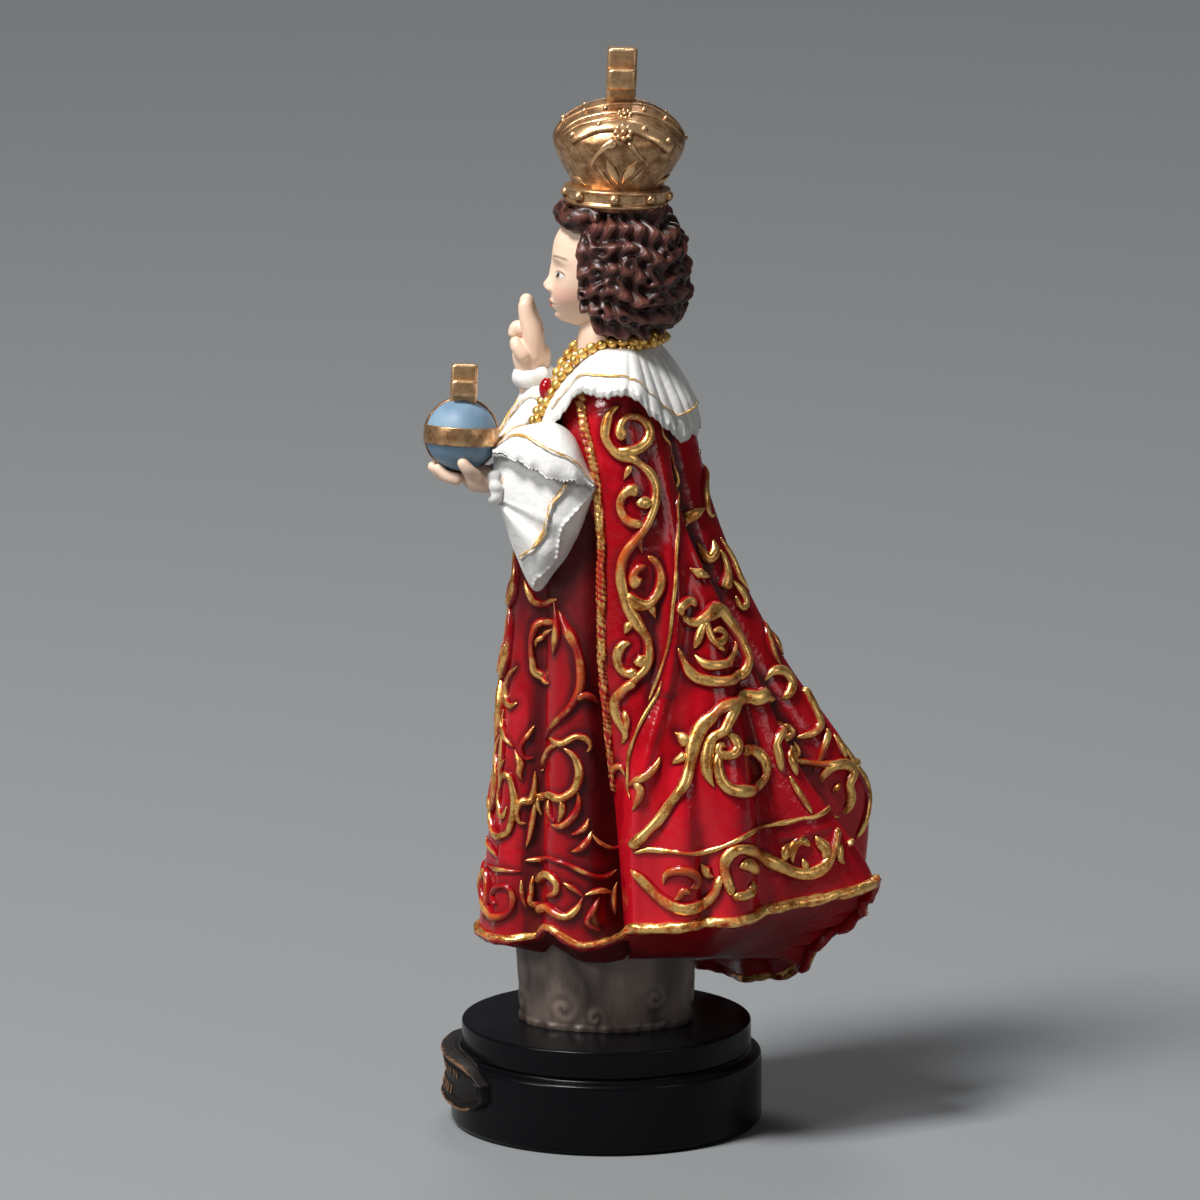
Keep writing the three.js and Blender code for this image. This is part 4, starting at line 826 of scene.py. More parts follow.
# Cape: the cloth from its first rib round the back to its last, and a return inside the dress.
# Below the hem it turns in, evens out and slopes to the cloud: the inner ring's height is a plane over x and y.
def capeShape(centres):
    near, far = capeGrid["nearColumns"], capeGrid["farColumns"]
    shares = np.append(np.linspace(0, capeGrid["near"], near, endpoint=False), np.linspace(capeGrid["near"], 1, far))
    falls = np.linspace(0, 1, capeGrid["rows"])
    fall, share = (grid.ravel() for grid in np.meshgrid(falls, shares, indexing="ij"))
    first, last = (along(capeCloth["turn"][k], fall) for k in (0, -1))
    angle = mix(first, last, share)
    reach, low = ribbed(capeCloth, angle, fall)
    size = (len(falls), len(shares))
    hiddenFall, hiddenShare = np.meshgrid(falls, np.linspace(0, 1, capeGrid["hiddenColumns"]), indexing="ij")
    hiddenFirst, hiddenLast = (along(capeCloth["turn"][k], hiddenFall.ravel()) for k in (0, -1))
    hiddenAngle = hiddenLast + 2 + hiddenShare.ravel() * (356 + hiddenFirst - hiddenLast)
    hiddenReach = along(capeHidden, hiddenFall.ravel())
    hiddenLow = ribbed(capeCloth, hiddenFirst, hiddenFall.ravel())[1]
    # Painted shade, kept as hollow: dark in the fold valleys. On the lower skirt it is lessened below zero, which
    # paints the skirt lighter.
    skirt = smooth((fall - 0.5) / 0.35)
    foldShade = (hollow(capeCloth, angle, fall) * (1 - 0.6 * skirt) - 0.45 * skirt).reshape(size)

    def both(shown, hidden):
        return np.concatenate([shown.reshape(size), hidden.reshape(hiddenFall.shape)], axis=1)

    angle, reach, low = both(angle, hiddenAngle), both(reach, hiddenReach), both(low, hiddenLow)
    fall = both(fall, hiddenFall.ravel())
    body = robePoints(angle, reach, fall, mix(robe["top"], low, fall))
    top = robePoints(angle[:1], reach[:1] / 2, 0, np.full_like(reach[:1], robe["top"] + robe["rise"]))
    inward = np.linspace(0, 1, capeGrid["lipRows"])[:, None]
    even = eased(np.stack([reach[-1], low[-1]], axis=1), capeGrid["lipEven"]).T
    lipReach, lipLow = (mix(rim[-1:], soft, smooth(inward * 2.4)) for rim, soft in zip((reach, low), even))
    turned, inner = np.radians(angle[-1:]), robe["underReach"]
    level, acrossRise, alongRise = robe["under"]
    innerHeight = level + acrossRise * inner * np.sin(turned) + alongRise * (robe["centre"][1] - inner * np.cos(turned))
    start, end = capeGrid["steep"]
    steep = smooth((angle[-1:] - start) / 12) * smooth((end - angle[-1:]) / 12)
    lipHeight = mix(lipLow + 0.6, innerHeight, inward ** (1 - 0.65 * steep))
    lip = robePoints(angle[-1:] + 0 * inward, mix(lipReach * 0.975, inner, inward), 1, lipHeight)
    points = np.concatenate([top, body, lip])
    # The hidden return is painted in full shade, and the underside under the hem in painted shade that deepens inwards.
    hidden = np.ones((len(falls), capeGrid["hiddenColumns"]))
    values = {
        "hollow": np.concatenate([foldShade, hidden], axis=1),
        "beside": besideCords(body.reshape(-1, 3), centres).reshape(body.shape[:2]),
    }
    under = {"hollow": np.broadcast_to(0.2 + 0.6 * inward, lip.shape[:2]), "beside": np.zeros(lip.shape[:2])}
    return gridShape(points, {name: np.concatenate([v[:1], v, under[name]]) for name, v in values.items()})


# Dress: the cloth all round, close in front and coarse under the cape, closed by a floor inside
def dressShape(centres):
    front = np.linspace(-dressGrid["open"], dressGrid["open"], dressGrid["frontColumns"])
    back = np.linspace(dressGrid["open"], 360 - dressGrid["open"], dressGrid["backColumns"])[1:-1]
    falls = np.linspace(0, 1, dressGrid["rows"])
    fall, angle = np.meshgrid(falls, np.append(front, back), indexing="ij")
    size = fall.shape
    body = clothPoints(dressCloth, angle.ravel(), fall.ravel()).reshape(*size, 3)
    reach, low = (part[None] for part in ribbed(dressCloth, angle[-1], fall[-1]))
    lip = [(0.975, low + 0.1), (0.92, low - 0.4), (0.72, 0 * low + 14.2), (0.3, 0 * low + dressGrid["floor"])]
    under = [robePoints(angle[-1:], reach * share, 1, z) for share, z in lip]
    # Painted shade: darker in the fold valleys, a painted shadow below the sleeves at the top, darker down the sides
    # where the dress meets the cape's valley, and full shade on the hem's underside.
    shade = hollow(dressCloth, angle.ravel(), fall.ravel()).reshape(size)
    deep = smooth((0.6 - fall) / 0.26) + smooth((np.abs(angle) - 44) / 22) * (1 - 0.5 * smooth((fall - 0.75) / 0.2))
    shade = np.clip(0.75 * shade + 0.8 * deep, 0, 0.85)
    edges = np.ones((len(lip), size[1]))
    values = {
        "hollow": np.concatenate([shade, edges]),
        "beside": np.concatenate([besideCords(body.reshape(-1, 3), centres).reshape(size), 0 * edges]),
    }
    return gridShape(np.concatenate([body, *under]), values)


capeStrokes = strokesOnSurface(capeSurface, capeSheets, 64, 202)
dressStrokes = strokesOnSurface(dressSurface, dressSheets, -20, 88)
dressStrokes += [(widths, np.array(path, float)) for widths, path in frontStrokes]
print("laid", len(capeStrokes) + len(dressStrokes), "strokes on the cloth")
capeFar = mirroredStrokes(capeStrokes, 160)
dressFar = mirroredStrokes(dressStrokes, 400)
nearShape, nearCentres = carvedCords(capeSurface, capeStrokes)
farShape, farCentres = carvedCords(capeSurface, capeFar)
frontShape, frontCentres = carvedCords(dressSurface, dressStrokes + dressFar, height=1.2, paint=0.62)
makePiece("cape", capeShape(np.concatenate([nearCentres, farCentres])), red, replaces="figure")
makePiece("dress", dressShape(frontCentres), red)
makePiece("capeScrollsNear", nearShape, carved)
makePiece("capeScrollsFar", farShape, carved)
makePiece("dressScrolls", frontShape, carved)


# Rope along a line of a surface, its middle a little outside it
def ropeOn(surface, angle, fall, radius, out=0.15, **form):
    return ropeShape(surface(angle, fall) + outwardOf(surface, angle, fall) * out, radius, **form)


rope = {
    "trim": 0.88, "hem": 1.05, "dressHem": 0.9, "samples": 700, "trimEnd": 0.73,
    "trimTurn": [54, 66.9, 72, 72, 72, 73.8, 75.6, 76.5, 77.4],
    "trimForm": {"notch": 1.2, "twist": 1, "depth": 0.4, "rough": 0.5, "taper": (1.35, 1.05, 1, 1, 0.9, 0.8)},
    "hemForm": {"notch": 2.3, "twist": 0.5, "depth": 0.1, "rough": 0.5}, "inside": (204, 246),
}


# Ropes: the cape's hem, gold outside but on its far lobe inside, its two front edges, and the dress's hem
def makeRopes():
    fall = np.linspace(0.0, rope["trimEnd"], rope["samples"])
    around = np.linspace(0, 1, 2 * rope["samples"])
    hemAngle = mix(capeCloth["turn"][0][-1] + 0.3, capeCloth["turn"][-1][-1] - 0.3, around)
    start, end = rope["inside"]
    inside = (smooth((hemAngle - start) / 6) * smooth((end - hemAngle) / 12))[:, None]
    toward = mix(outwardOf(capeSurface, hemAngle, np.ones_like(around)), np.array([1.0, 0, 0]), inside)
    ropes = [ropeOn(capeSurface, hemAngle, np.ones_like(around), rope["hem"], 0.3, toward=toward, **rope["hemForm"])]
    for turn in (along(rope["trimTurn"], fall), 360 - along(rope["trimTurn"], fall)):
        ropes.append(ropeOn(capeSurface, turn, fall, rope["trim"], **rope["trimForm"]))
    hemTurn, hemFall = np.linspace(-84, 84, rope["samples"]), np.full(rope["samples"], 0.99)
    ropes.append(ropeOn(dressSurface, hemTurn, hemFall, rope["dressHem"], 0.2, **rope["hemForm"]))
    return joined(ropes)


makePiece("ropes", makeRopes(), carved)

# Plinth
plinthRadius = 29
plinth = {
    "corners": [
        (28.2, 0, 0), (plinthRadius, 0.9, 0.5), (plinthRadius, 13.4, 1.6), (27.1, 13.5, 0.3), (26.7, 13.9, 0.3),
        (27, 14.4, 0.2), (27, baseTop, 0.5), (26, baseTop, 0.2),
    ],
    "columns": 256,
}
plaque = {
    "lines": [(11.3, 13), (7.9, 9)],  # height and half width of each row of marks
    "halfAngle": 41,
    "top": [14.5, 14.5, 14.5, 14.4, 14.4, 14.2, 13.8, 12.9, 11.2],
    "bottom": [5.0, 4.9, 4.8, 4.7, 4.6, 4.5, 4.9, 5.7, 7.2],
    "proud": 2.1,
    "rim": 0.5,
    "rimWidth": 0.8,
    "columns": 260,
    "rows": 90,
}


# Profile through corners of (distance from the axis, height, rounding), each rounded by a parabola
def roundedProfile(corners, each=6):
    points = np.array([corner[:2] for corner in corners], float)
    profile = [points[:1]]
    for k in range(1, len(points) - 1):
        before, after = points[k - 1] - points[k], points[k + 1] - points[k]
        lengths = np.linalg.norm(before), np.linalg.norm(after)
        cut = min(corners[k][2], 0.48 * lengths[0], 0.48 * lengths[1])
        t = np.linspace(0, 1, each)[:, None]
        start, end = points[k] + before / lengths[0] * cut, points[k] + after / lengths[1] * cut
        profile.append((1 - t) ** 2 * start + 2 * t * (1 - t) * points[k] + t**2 * end)
    return np.concatenate(profile + [points[-1:]])


# A profile turned round the upright axis
def turnedShape(profile, columns, values=None):
    return gridShape(aroundAxis(fullTurn(columns), profile[:, :1], profile[:, 1:]), values)


# Label plate: a field bent round the plinth inside a raised outline, with rows of short raised marks
def plaqueShape():
    columns, rows = plaque["columns"], plaque["rows"]
    side, up = np.meshgrid(np.linspace(-1, 1, columns), np.linspace(0, 1, rows))
    top, bottom = along(plaque["top"], np.abs(side)), along(plaque["bottom"], np.abs(side))
    z = mix(bottom, top, up)
    arc = side * math.radians(plaque["halfAngle"])
    toSide = (math.radians(plaque["halfAngle"]) - np.abs(arc)) * plinthRadius
    inside = np.minimum(np.minimum(top - z, z - bottom), toSide)
    rim = bell(inside - 0.7, plaque["rimWidth"] / 2)
    inner = 0.35 * bell(inside - 2.1, 0.25)
    marks = np.zeros_like(z)
    for height, half in plaque["lines"]:
        places = np.arange(-13, 13.1, 1.55) + chance.uniform(-0.25, 0.25, 17)
        for place in places[np.abs(places) < half]:
            lean, tall = chance.uniform(-0.25, 0.25), chance.uniform(0.8, 1.15)
            across = np.abs(arc * plinthRadius - place - lean * (z - height)) / 0.28
            upright = np.abs(z - height) / tall
            marks = np.maximum(marks, (1 - smooth(across - 0.5)) * (1 - smooth(upright * 4 - 3)))
    edge = smooth(inside / 0.5)
    waist = 0.55 * (1 - np.cos(np.pi * np.clip(np.abs(up - 0.5) * 2, 0, 1))) / 2
    proud = plaque["proud"] - 0.9 + waist + plaque["rim"] * rim + inner + 0.32 * marks * (inside > 2.3)
    front = aroundAxis(arc, plinthRadius + edge * proud - 0.3, z)
    back = aroundAxis(arc, plinthRadius - 0.6, z)
    gilt = np.clip(np.maximum(rim, marks) + inner, 0, 1) * (1 - 0.8 * smooth((np.abs(side) - 0.78) / 0.15))
    gilt = np.concatenate([gilt, np.zeros_like(gilt)], axis=1)
    return gridShape(np.concatenate([front, back[:, ::-1]], axis=1), {"gilt": gilt})


plinthShape = turnedShape(roundedProfile(plinth["corners"]), plinth["columns"])
makePiece("plinth", plinthShape, black, replaces="base")
makePiece("plaque", plaqueShape(), bronze)

# Bank of cloud
cloud = {
    "side": 12.4, "depth": 16.6, "flare": 0.07, "height": 19, "columns": 420, "rows": 110, "lobes": 7, "lobe": 0.5,
    "swirls": 8, "swirl": 3.6, "fold": 0.09,
}


# Bank of cloud: an oval drum that widens upwards, with upright rounded lobes, a row of curled swirls
# along its foot, each a spiral ridge, and a rough lip at the plinth
def cloudShape():
    up, turn = np.meshgrid(np.linspace(0, 1, cloud["rows"]), fullTurn(cloud["columns"]), indexing="ij")
    reach = ovalReach(turn, cloud["side"], cloud["depth"])
    ripple = turn + 0.09 * np.sin(5 * up + 3 * turn) + 0.05 * np.sin(11 * up)
    lobe = np.abs(np.cos(cloud["lobes"] / 2 * ripple + 0.7 * np.sin(2 * turn))) ** 0.6 - 0.7
    swell = cloud["lobe"] * lobe * (1 - 0.35 * up)
    # mark, kept as hollow, is painted shade: darker in the valleys between the lobes and in the swirls' grooves. It is
    # also darker along the foot.
    mark = 0.45 - 0.8 * lobe
    for k in range(cloud["swirls"]):
        at, level = 2 * np.pi * (k + chance.uniform(-0.25, 0.25)) / cloud["swirls"], chance.uniform(0.12, 0.34)
        size = cloud["swirl"] * chance.uniform(0.7, 1.15)
        across = ((turn - at + np.pi) % (2 * np.pi) - np.pi) * 14.5
        high = (up - level) * cloud["height"]
        d = np.hypot(across, high) / size
        spiral = np.cos(2 * np.pi * d * 1.25 - chance.choice([-1, 1]) * np.arctan2(high, across))
        near = np.exp(-(d**4))
        swell = mix(swell, 0.2 * (1 - d**2) + cloud["fold"] * spiral, near)
        mark = mix(mark, 0.4 - 0.22 * spiral, near)
    foot = smooth((0.08 - up) / 0.05)
    lip = foot * (0.25 + 0.3 * np.sin(23 * turn) * np.sin(7 * turn))
    mark = mix(mark, 0.8, foot)
    far = reach * (0.96 + cloud["flare"] * up) + swell + lip
    points = aroundAxis(turn, far, up * cloud["height"] + baseTop - 0.05)
    return gridShape(points, {"hollow": np.clip(mark, 0, 1)})


makePiece("cloudBank", cloudShape(), stone)

# White collar and sleeves
def whiteSatin(start):
    pores = start.cells(1100)
    fine = start.noise(520, 4, 0.6)
    # Painted shade from the stored hollow: grey in the fold valleys of the collar and sleeves, by the neck, under the
    # collar's edge, inside the sleeves' mouths and a little on the cuffs.
    shade = (start.stored("hollow") * 0.8 + (start.noise(150, 3, 0.5) - 0.5) * 0.25).step(0.1, 1.0)
    return {
        "Base Color": start.blend((0.74, 0.725, 0.69), (0.46, 0.42, 0.38), shade),
        "Roughness": 0.36 + fine * 0.14,
        "Coat Weight": 0.15,
        "Coat Roughness": 0.25,
        "Normal": start.bump(fine + pores * 0.25 + start.noise(220, 3, 0.6) * 1.5, 0.45, 0.0003),
    }


def brushedGold(start):
    wear = start.noise(500, 4, 0.65)
    # rub: rubbed gold over dark bronze, set by the stored gilt and by wear. On the crown's studs the gilt is painted
    # light, lighter on top.
    rub = (start.stored("gilt") * 0.6 + wear * 0.8).step(0.4, 1.0)
    return {
        "Base Color": start.blend((0.21, 0.088, 0.032), (0.96, 0.6, 0.31), rub),
        "Metallic": 0.85,
        "Roughness": 0.4 - rub * 0.14,
        "Normal": start.bump(start.noise(1300, 3, 0.6) + wear, 0.3, 0.00015),
    }


def beadGold(start):
    wear = start.noise(600, 3, 0.6)
    return {
        "Base Color": start.blend((0.5, 0.23, 0.03), (0.98, 0.66, 0.2), wear.step(0.3, 0.65)),
        "Metallic": 0.75,
        "Roughness": 0.25 + wear * 0.15,
        "Normal": start.bump(wear, 0.3, 0.0001),
    }


white = makeMaterial(whiteSatin)
gold = makeMaterial(brushedGold)
beadFinish = makeMaterial(beadGold)


# Reach and height of the collar at five even steps from the neck to its edge, in three directions
collar = {
    "y": 4, "front": ([6.2, 9.8, 13.1, 15.6, 17.3], [128.8, 126, 122.2, 117.4, 112.2]),
    "side": ([6, 9.8, 13.2, 16.4, 19], [129, 128.6, 127.4, 125.8, 123.2]),
    "back": ([5.6, 8.5, 10.6, 12.3, 13.2], [128.6, 125, 121.4, 117.8, 113.6]),
    "pleats": 24, "pleatDepth": 0.22, "piping": 0.8, "columns": 520, "rows": 64,
    "under": [(1, 0.3), (1, 0.9), (0.985, 1.4), (0.95, 1.7), (0.8, 2.2), (0.2, 2.2)],
}


# Share of a direction's drop: the edge is level over the shoulder, then steps down in front and behind
def collarShares(a):
    return smooth((np.cos(a) - 0.44) / 0.56), smooth((0.05 - np.cos(a)) / 0.7)


# Folds that fan out from the neck, close together behind and soft in front
def collarPleats(a, fall):
    fan = np.cos(collar["pleats"] / 2 * a + 1.2 * np.sin(3 * a) + 0.5 * np.sin(7 * a))
    return (np.abs(fan) ** 0.9 - 0.6) * smooth(fall * 1.4) * mix(0.35, 1, smooth((0.6 - np.cos(a)) / 0.8))


# Collar: from the neck it runs out and down over the shoulders to a wavy edge
def collarSurface(angle, fall):
    a = np.radians(angle)
    side, front, back = ([along(row, fall) for row in collar[name]] for name in ("side", "front", "back"))
    reach = ovalReach(a, side[0], np.where(np.cos(a) > 0, front[0], back[0]))
    toFront, toBack = collarShares(a)
    z = side[1] + (front[1] - side[1]) * toFront + (back[1] - side[1]) * toBack
    pleat = collarPleats(a, fall)
    edge = smooth((fall - 0.86) / 0.14)
    frill = 0.2 * np.sin(53 * a + 3 * np.sin(4 * a)) * np.sin(19 * a) * edge
    reach = reach + collar["pleatDepth"] * 2 * pleat + frill
    z = z + 0.35 * pleat + 0.3 * np.sin(71 * a + 2 * np.sin(5 * a)) * np.cos(23 * a) * edge
    return aroundAxis(a, reach, z + 0.4 * np.sin(13 * a) * edge + baseTop, collar["y"])


# Collar's cloth: its surface, and under it the same surface from its edge back, at falls and drops
def collarShape():
    turn = np.linspace(0, 360, collar["columns"], endpoint=False)
    angle, fall = np.meshgrid(turn, np.linspace(0, 1, collar["rows"]))
    top = collarSurface(angle, fall)
    under = [collarSurface(angle[:1], np.full((1, len(turn)), share)) - np.array([0, 0, drop])
             for share, drop in collar["under"]]
    shade = 0.7 * smooth(-collarPleats(np.radians(angle), fall) * 1.8) + 0.25 * smooth((0.15 - fall) / 0.15)
    shade = np.concatenate([shade, np.full((len(under), len(turn)), 0.6)])
    return gridShape(np.concatenate([top, *under]), {"hollow": shade})


sleeve = {
    "elbowY": -1.6, "wristY": -20.8, "top": [105.6, 111.8, 115.2, 115.3, 114.4, 111],
    "bottom": [103.2, 94, 88.4, 84.4, 91.6, 102.4], "outer": [18.5, 21, 21.5, 20.5, 18, 15.5],
    "inner": [9, 7, 6, 6, 7.5, 10], "raise": [0, 0, 0.6, 2.8, -1, -4], "columns": 260, "rows": 170,
    "braid": {"notch": 1.3, "twist": 1, "depth": 0.32, "rough": 1.3},
    "edge": [(-1.6, 124.6), (-3.05, 122.7), (-6, 119.6), (-8.0, 117.2), (-8.6, 114.1), (-8.9, 111.5),
             (-10.3, 109.4), (-11.6, 107.9), (-13, 106.4), (-13.6, 103)],
    "piping": [(-7.1, 125.4), (-8.2, 123.8), (-9.9, 121.5), (-10.7, 119.2), (-11.3, 116.4), (-13.3, 113.4),
               (-15.9, 110.4)],
    "corner": (-21.5, 122),  # depth and height of the place that the folds fan from
}
sleeveEdge = curvedRows(sleeve["edge"], 4)


# Distance of places in a plane from a line through points, positive on its left going along it
def besideLine(place, line):
    line = np.array(line, float)
    best = np.full(place.shape[:-1], 1e9)
    side = np.ones(place.shape[:-1])
    for start, end in zip(line[:-1], line[1:]):
        run = end - start
        t = np.clip(((place - start) @ run) / (run @ run), 0, 1)
        apart = place - (start + t[..., None] * run)
        far = np.linalg.norm(apart, axis=-1)
        nearer = far < best
        best = np.where(nearer, far, best)
        side = np.where(nearer, np.sign(run[0] * apart[..., 1] - run[1] * apart[..., 0]), side)
    return best * side


# Bell sleeve: an oval tube from elbow to wrist that hangs low in its middle. hand is 1 for the left arm
# and -1 for the raised right arm. Folds spread from the wrist, and its mouth lies back from its edge.
def sleeveSurface(hand, turn, run):
    a = np.radians(turn)
    lift = along(sleeve["raise"], run) if hand < 0 else 0
    top, bottom = along(sleeve["top"], run) + lift, along(sleeve["bottom"], run) + lift / 2
    outer, inner = along(sleeve["outer"], run), along(sleeve["inner"], run)
    x = (outer + inner) / 2 + (outer - inner) / 2 * np.sin(a) * (1 - 0.25 * np.cos(a))
    y = mix(sleeve["elbowY"], sleeve["wristY"], run)
    z = (top + bottom) / 2 + (top - bottom) / 2 * np.cos(a) + baseTop
    fromY, fromZ = sleeve["corner"]
    away = np.hypot(y - fromY, z - fromZ)
    lean = np.degrees(np.arctan2(fromZ - z, y - fromY))
    fold = np.cos(np.radians((lean - 47) * 10)) * smooth((lean - 10) / 15) * smooth((78 - lean) / 14)
    outside = smooth(np.sin(a) * 2)
    x = x + outside * (0.6 * fold * smooth(away / 4) * smooth((24 - away) / 12) - 0.7)
    mouth = besideLine(np.stack([y, z], axis=-1), sleeveEdge)
    lace = bell(mouth, 0.5) * (0.4 + 0.3 * np.sin(z * 4.1 + y) * np.sin(z * 1.7 + 1))
    x = x + outside * (lace - 0.8 * smooth((mouth + 0.1) / 0.35))
    return np.stack([hand * x, y, z], axis=-1), fold * outside, mouth


def sleeveShape(hand):
    turns = np.linspace(0, 360, sleeve["columns"], endpoint=False)
    turn, run = np.meshgrid(turns, np.linspace(0, 1, sleeve["rows"]))
    points, fold, mouth = sleeveSurface(hand, turn, run)
    shade = np.clip(0.2 - fold * 0.5, 0, 1) * 0.6 + 0.15 * smooth(mouth / 0.4)
    return gridShape(points, {"hollow": shade})


flounce = {
    "fromY": -2.2, "toY": -21, "top": [106.2, 113.4, 116, 115.6, 114.4, 111.4],
    "edge": [105.4, 107.6, 108.2, 109.8, 111, 111.6], "outer": [19.2, 21.2, 21.4, 20.6, 18.4, 15.6],
    "inner": [9, 7, 6, 6, 7.5, 10], "piping": [0.7, 0.66, 0.6, 0.34, 0.3], "stand": 0.7, "thick": 1.2,
    "spread": 97, "wave": 0.3, "middle": (13.5, 118),
}


# Upper flounce: a bent sheet over the top of the sleeve. x is its middle plus its half width times the sine
# of its side angle, z falls from the top by (top - edge) times 1 - cos, and its lower edge is wavy.
def flounceSurface(hand, side, run):
    lift = along(sleeve["raise"], run) if hand < 0 else 0
    top, edge, outer, inner = (along(flounce[name], run) for name in ("top", "edge", "outer", "inner"))
    a = np.radians(side * flounce["spread"])
    low = smooth((np.abs(side) - 0.7) / 0.3)
    wave = flounce["wave"] * np.sin(run * 31 + side + 1.2 * np.sin(run * 9)) * low
    half = (outer - inner) / 2 + flounce["stand"] * np.abs(side) + wave
    x = (outer + inner) / 2 + half * np.sin(a)
    ragged = 0.2 * np.sin(run * 37) + 0.08 * np.sin(run * 143 + 2 * np.sin(run * 20))
    z = top - (top - edge) * (1 - np.cos(a)) + ragged * low + baseTop + lift
    y = mix(flounce["fromY"], flounce["toY"], run)
    return np.stack([hand * x, y + 0 * z, z], axis=-1)


def flounceShape(hand):
    side, run = np.meshgrid(np.linspace(-1, 1, 200), np.linspace(0, 1, 150))
    outer = flounceSurface(hand, side, run)
    middle = np.array([hand * flounce["middle"][0], 0, flounce["middle"][1]])
    inward = unit((middle - outer) * [1, 0, 1])
    full = roundedEnd((1 - np.abs(side)) * 8)[..., None]
    inner = outer + inward * flounce["thick"] * full
    outer = outer + inward * flounce["thick"] * 0.5 * (1 - full)
    return gridShape(np.concatenate([outer, inner[:, ::-1]], axis=1), {"hollow": 0})


# A round limb along a smooth path of rows of (x, y, z, radius), flat gives its share across and up
def limbShape(path, around=28, steps=40, flat=(1, 1)):
    rows = curvedRows(path, max(2, steps // (len(path) - 1)))
    middle, radius = rows[:, :3], rows[:, 3]
    ahead = unit(np.gradient(middle, axis=0))
    helper = np.array([1.0, 0.13, 0.08]) if abs(ahead[0][0]) < 0.8 else np.array([0.1, 1.0, 0.1])
    side = unit(np.cross(ahead, np.cross(helper, ahead)))
    up = np.cross(ahead, side)
    length = lengthAlong(middle)
    ends = roundedEnd(np.minimum(length, length[-1] - length) / radius, 0.02)
    ring = circles(fullTurn(around), side * flat[0], up * flat[1])
    return gridShape(middle[:, None] + ring * (radius * ends)[:, None, None], {"hollow": 0})


# Ruffled cuff round a wrist: a fat ring whose radius wavers
def cuffShape(centre, ahead, ring, tube, seed, rough=1.0):
    turn = fullTurn(120)
    wave = np.random.default_rng(seed).uniform(0, 6, 4)
    ahead = unit(np.array(ahead, float))
    side = unit(np.cross(ahead, [0.2, 0.1, 1]))
    up = np.cross(ahead, side)
    wobble = 1 + rough * (0.1 * np.sin(5 * turn + wave[0]) + 0.08 * np.sin(9 * turn + wave[1]))
    across, along = np.cos(turn) * ring * wobble, np.sin(turn) * ring * wobble
    middle = np.array(centre) + across[:, None] * side + along[:, None] * up
    middle = middle + (0.35 * rough * np.sin(4 * turn + wave[2]))[:, None] * ahead
    out = unit(middle - np.array(centre))
    section = fullTurn(24)
    thick = tube * (1 + 0.2 * rough * np.sin(7 * turn + wave[3]))
    offset = np.cos(section)[None, :, None] * out[:, None] + 1.4 * np.sin(section)[None, :, None] * ahead
    points = middle[:, None] + offset * thick[:, None, None]
    return gridShape(np.concatenate([points, points[:1]]), {"hollow": 0.15}, closed=False)


makePiece("collar", collarShape(), white)
for hand, label in ((1, "Left"), (-1, "Right")):
    makePiece("sleeve" + label, sleeveShape(hand), white)
    makePiece("flounce" + label, flounceShape(hand), white)
cuffs = [
    cuffShape((13, -20.4, 123.6), (0, -1, -0.05), 3.0, 0.85, 3, 0.6),
    cuffShape((-14.3, -13.6, 138.7), (0, -0.15, 1), 2.9, 1.2, 5, 0.35),
    limbShape([(-14.6, -11.4, 129, 5.6), (-14.6, -12.4, 134, 4.4), (-14.4, -13.2, 138, 3.4)]),
]
makePiece("cuffs", joined(cuffs), white)

# Gold piping on the white cloth
def makePiping():
    turn = np.linspace(30, 330, 800)
    ropes = [ropeOn(collarSurface, turn, np.full_like(turn, collar["piping"]), 0.26, 0.08, **sleeve["braid"])]
    run = np.linspace(0, 1, 300)
    for hand in (1, -1):
        for side in (1, -1):
            line = flounceSurface(hand, side * along(flounce["piping"], run), run) + [hand * side * 0.12, 0, 0.15]
            ropes.append(ropeShape(line, 0.3, **sleeve["braid"]))
        line = curvedRows(sleeve["piping"], 40)
        turns = np.linspace(20, 175, 500)
        runs = np.clip((sleeve["elbowY"] - line[:, 0]) / (sleeve["elbowY"] - sleeve["wristY"]), 0, 1)
        grid = sleeveSurface(hand, turns[None] + 0 * runs[:, None], runs[:, None] + 0 * turns[None])[0]
        best = np.abs(grid[:, :, 2] - line[:, 1:2]).argmin(1)
        line = eased(grid[np.arange(len(best)), best], 9) + [hand * 0.12, 0, 0]
        ropes.append(ropeShape(line, 0.45, **sleeve["braid"]))
    return joined(ropes)


makePiece("piping", makePiping(), braid)

# Hands, head and hair
def skinPaint(start):
    flush = start.stored("blush")
    mottle = start.noise(180, 4, 0.6)
    pale = start.blend((0.76, 0.54, 0.40), (0.70, 0.42, 0.31), (mottle * 0.5 + flush * 0.9).step(0.2, 1.0))
    lips = start.blend(pale, (0.42, 0.075, 0.05), start.stored("lips"))
    eyes = start.blend(lips, (0.62, 0.58, 0.54), start.stored("eyeWhite"))
    iris = start.blend(eyes, (0.05, 0.03, 0.02), start.stored("iris"))
    drawn = start.blend(iris, (0.06, 0.035, 0.02), start.stored("drawn"))
    return {
        "Base Color": drawn,
        "Roughness": 0.42 + mottle * 0.12,
        "Coat Weight": 0.1,
        "Normal": start.bump(start.noise(700, 3, 0.6), 0.15, 0.0002),
    }


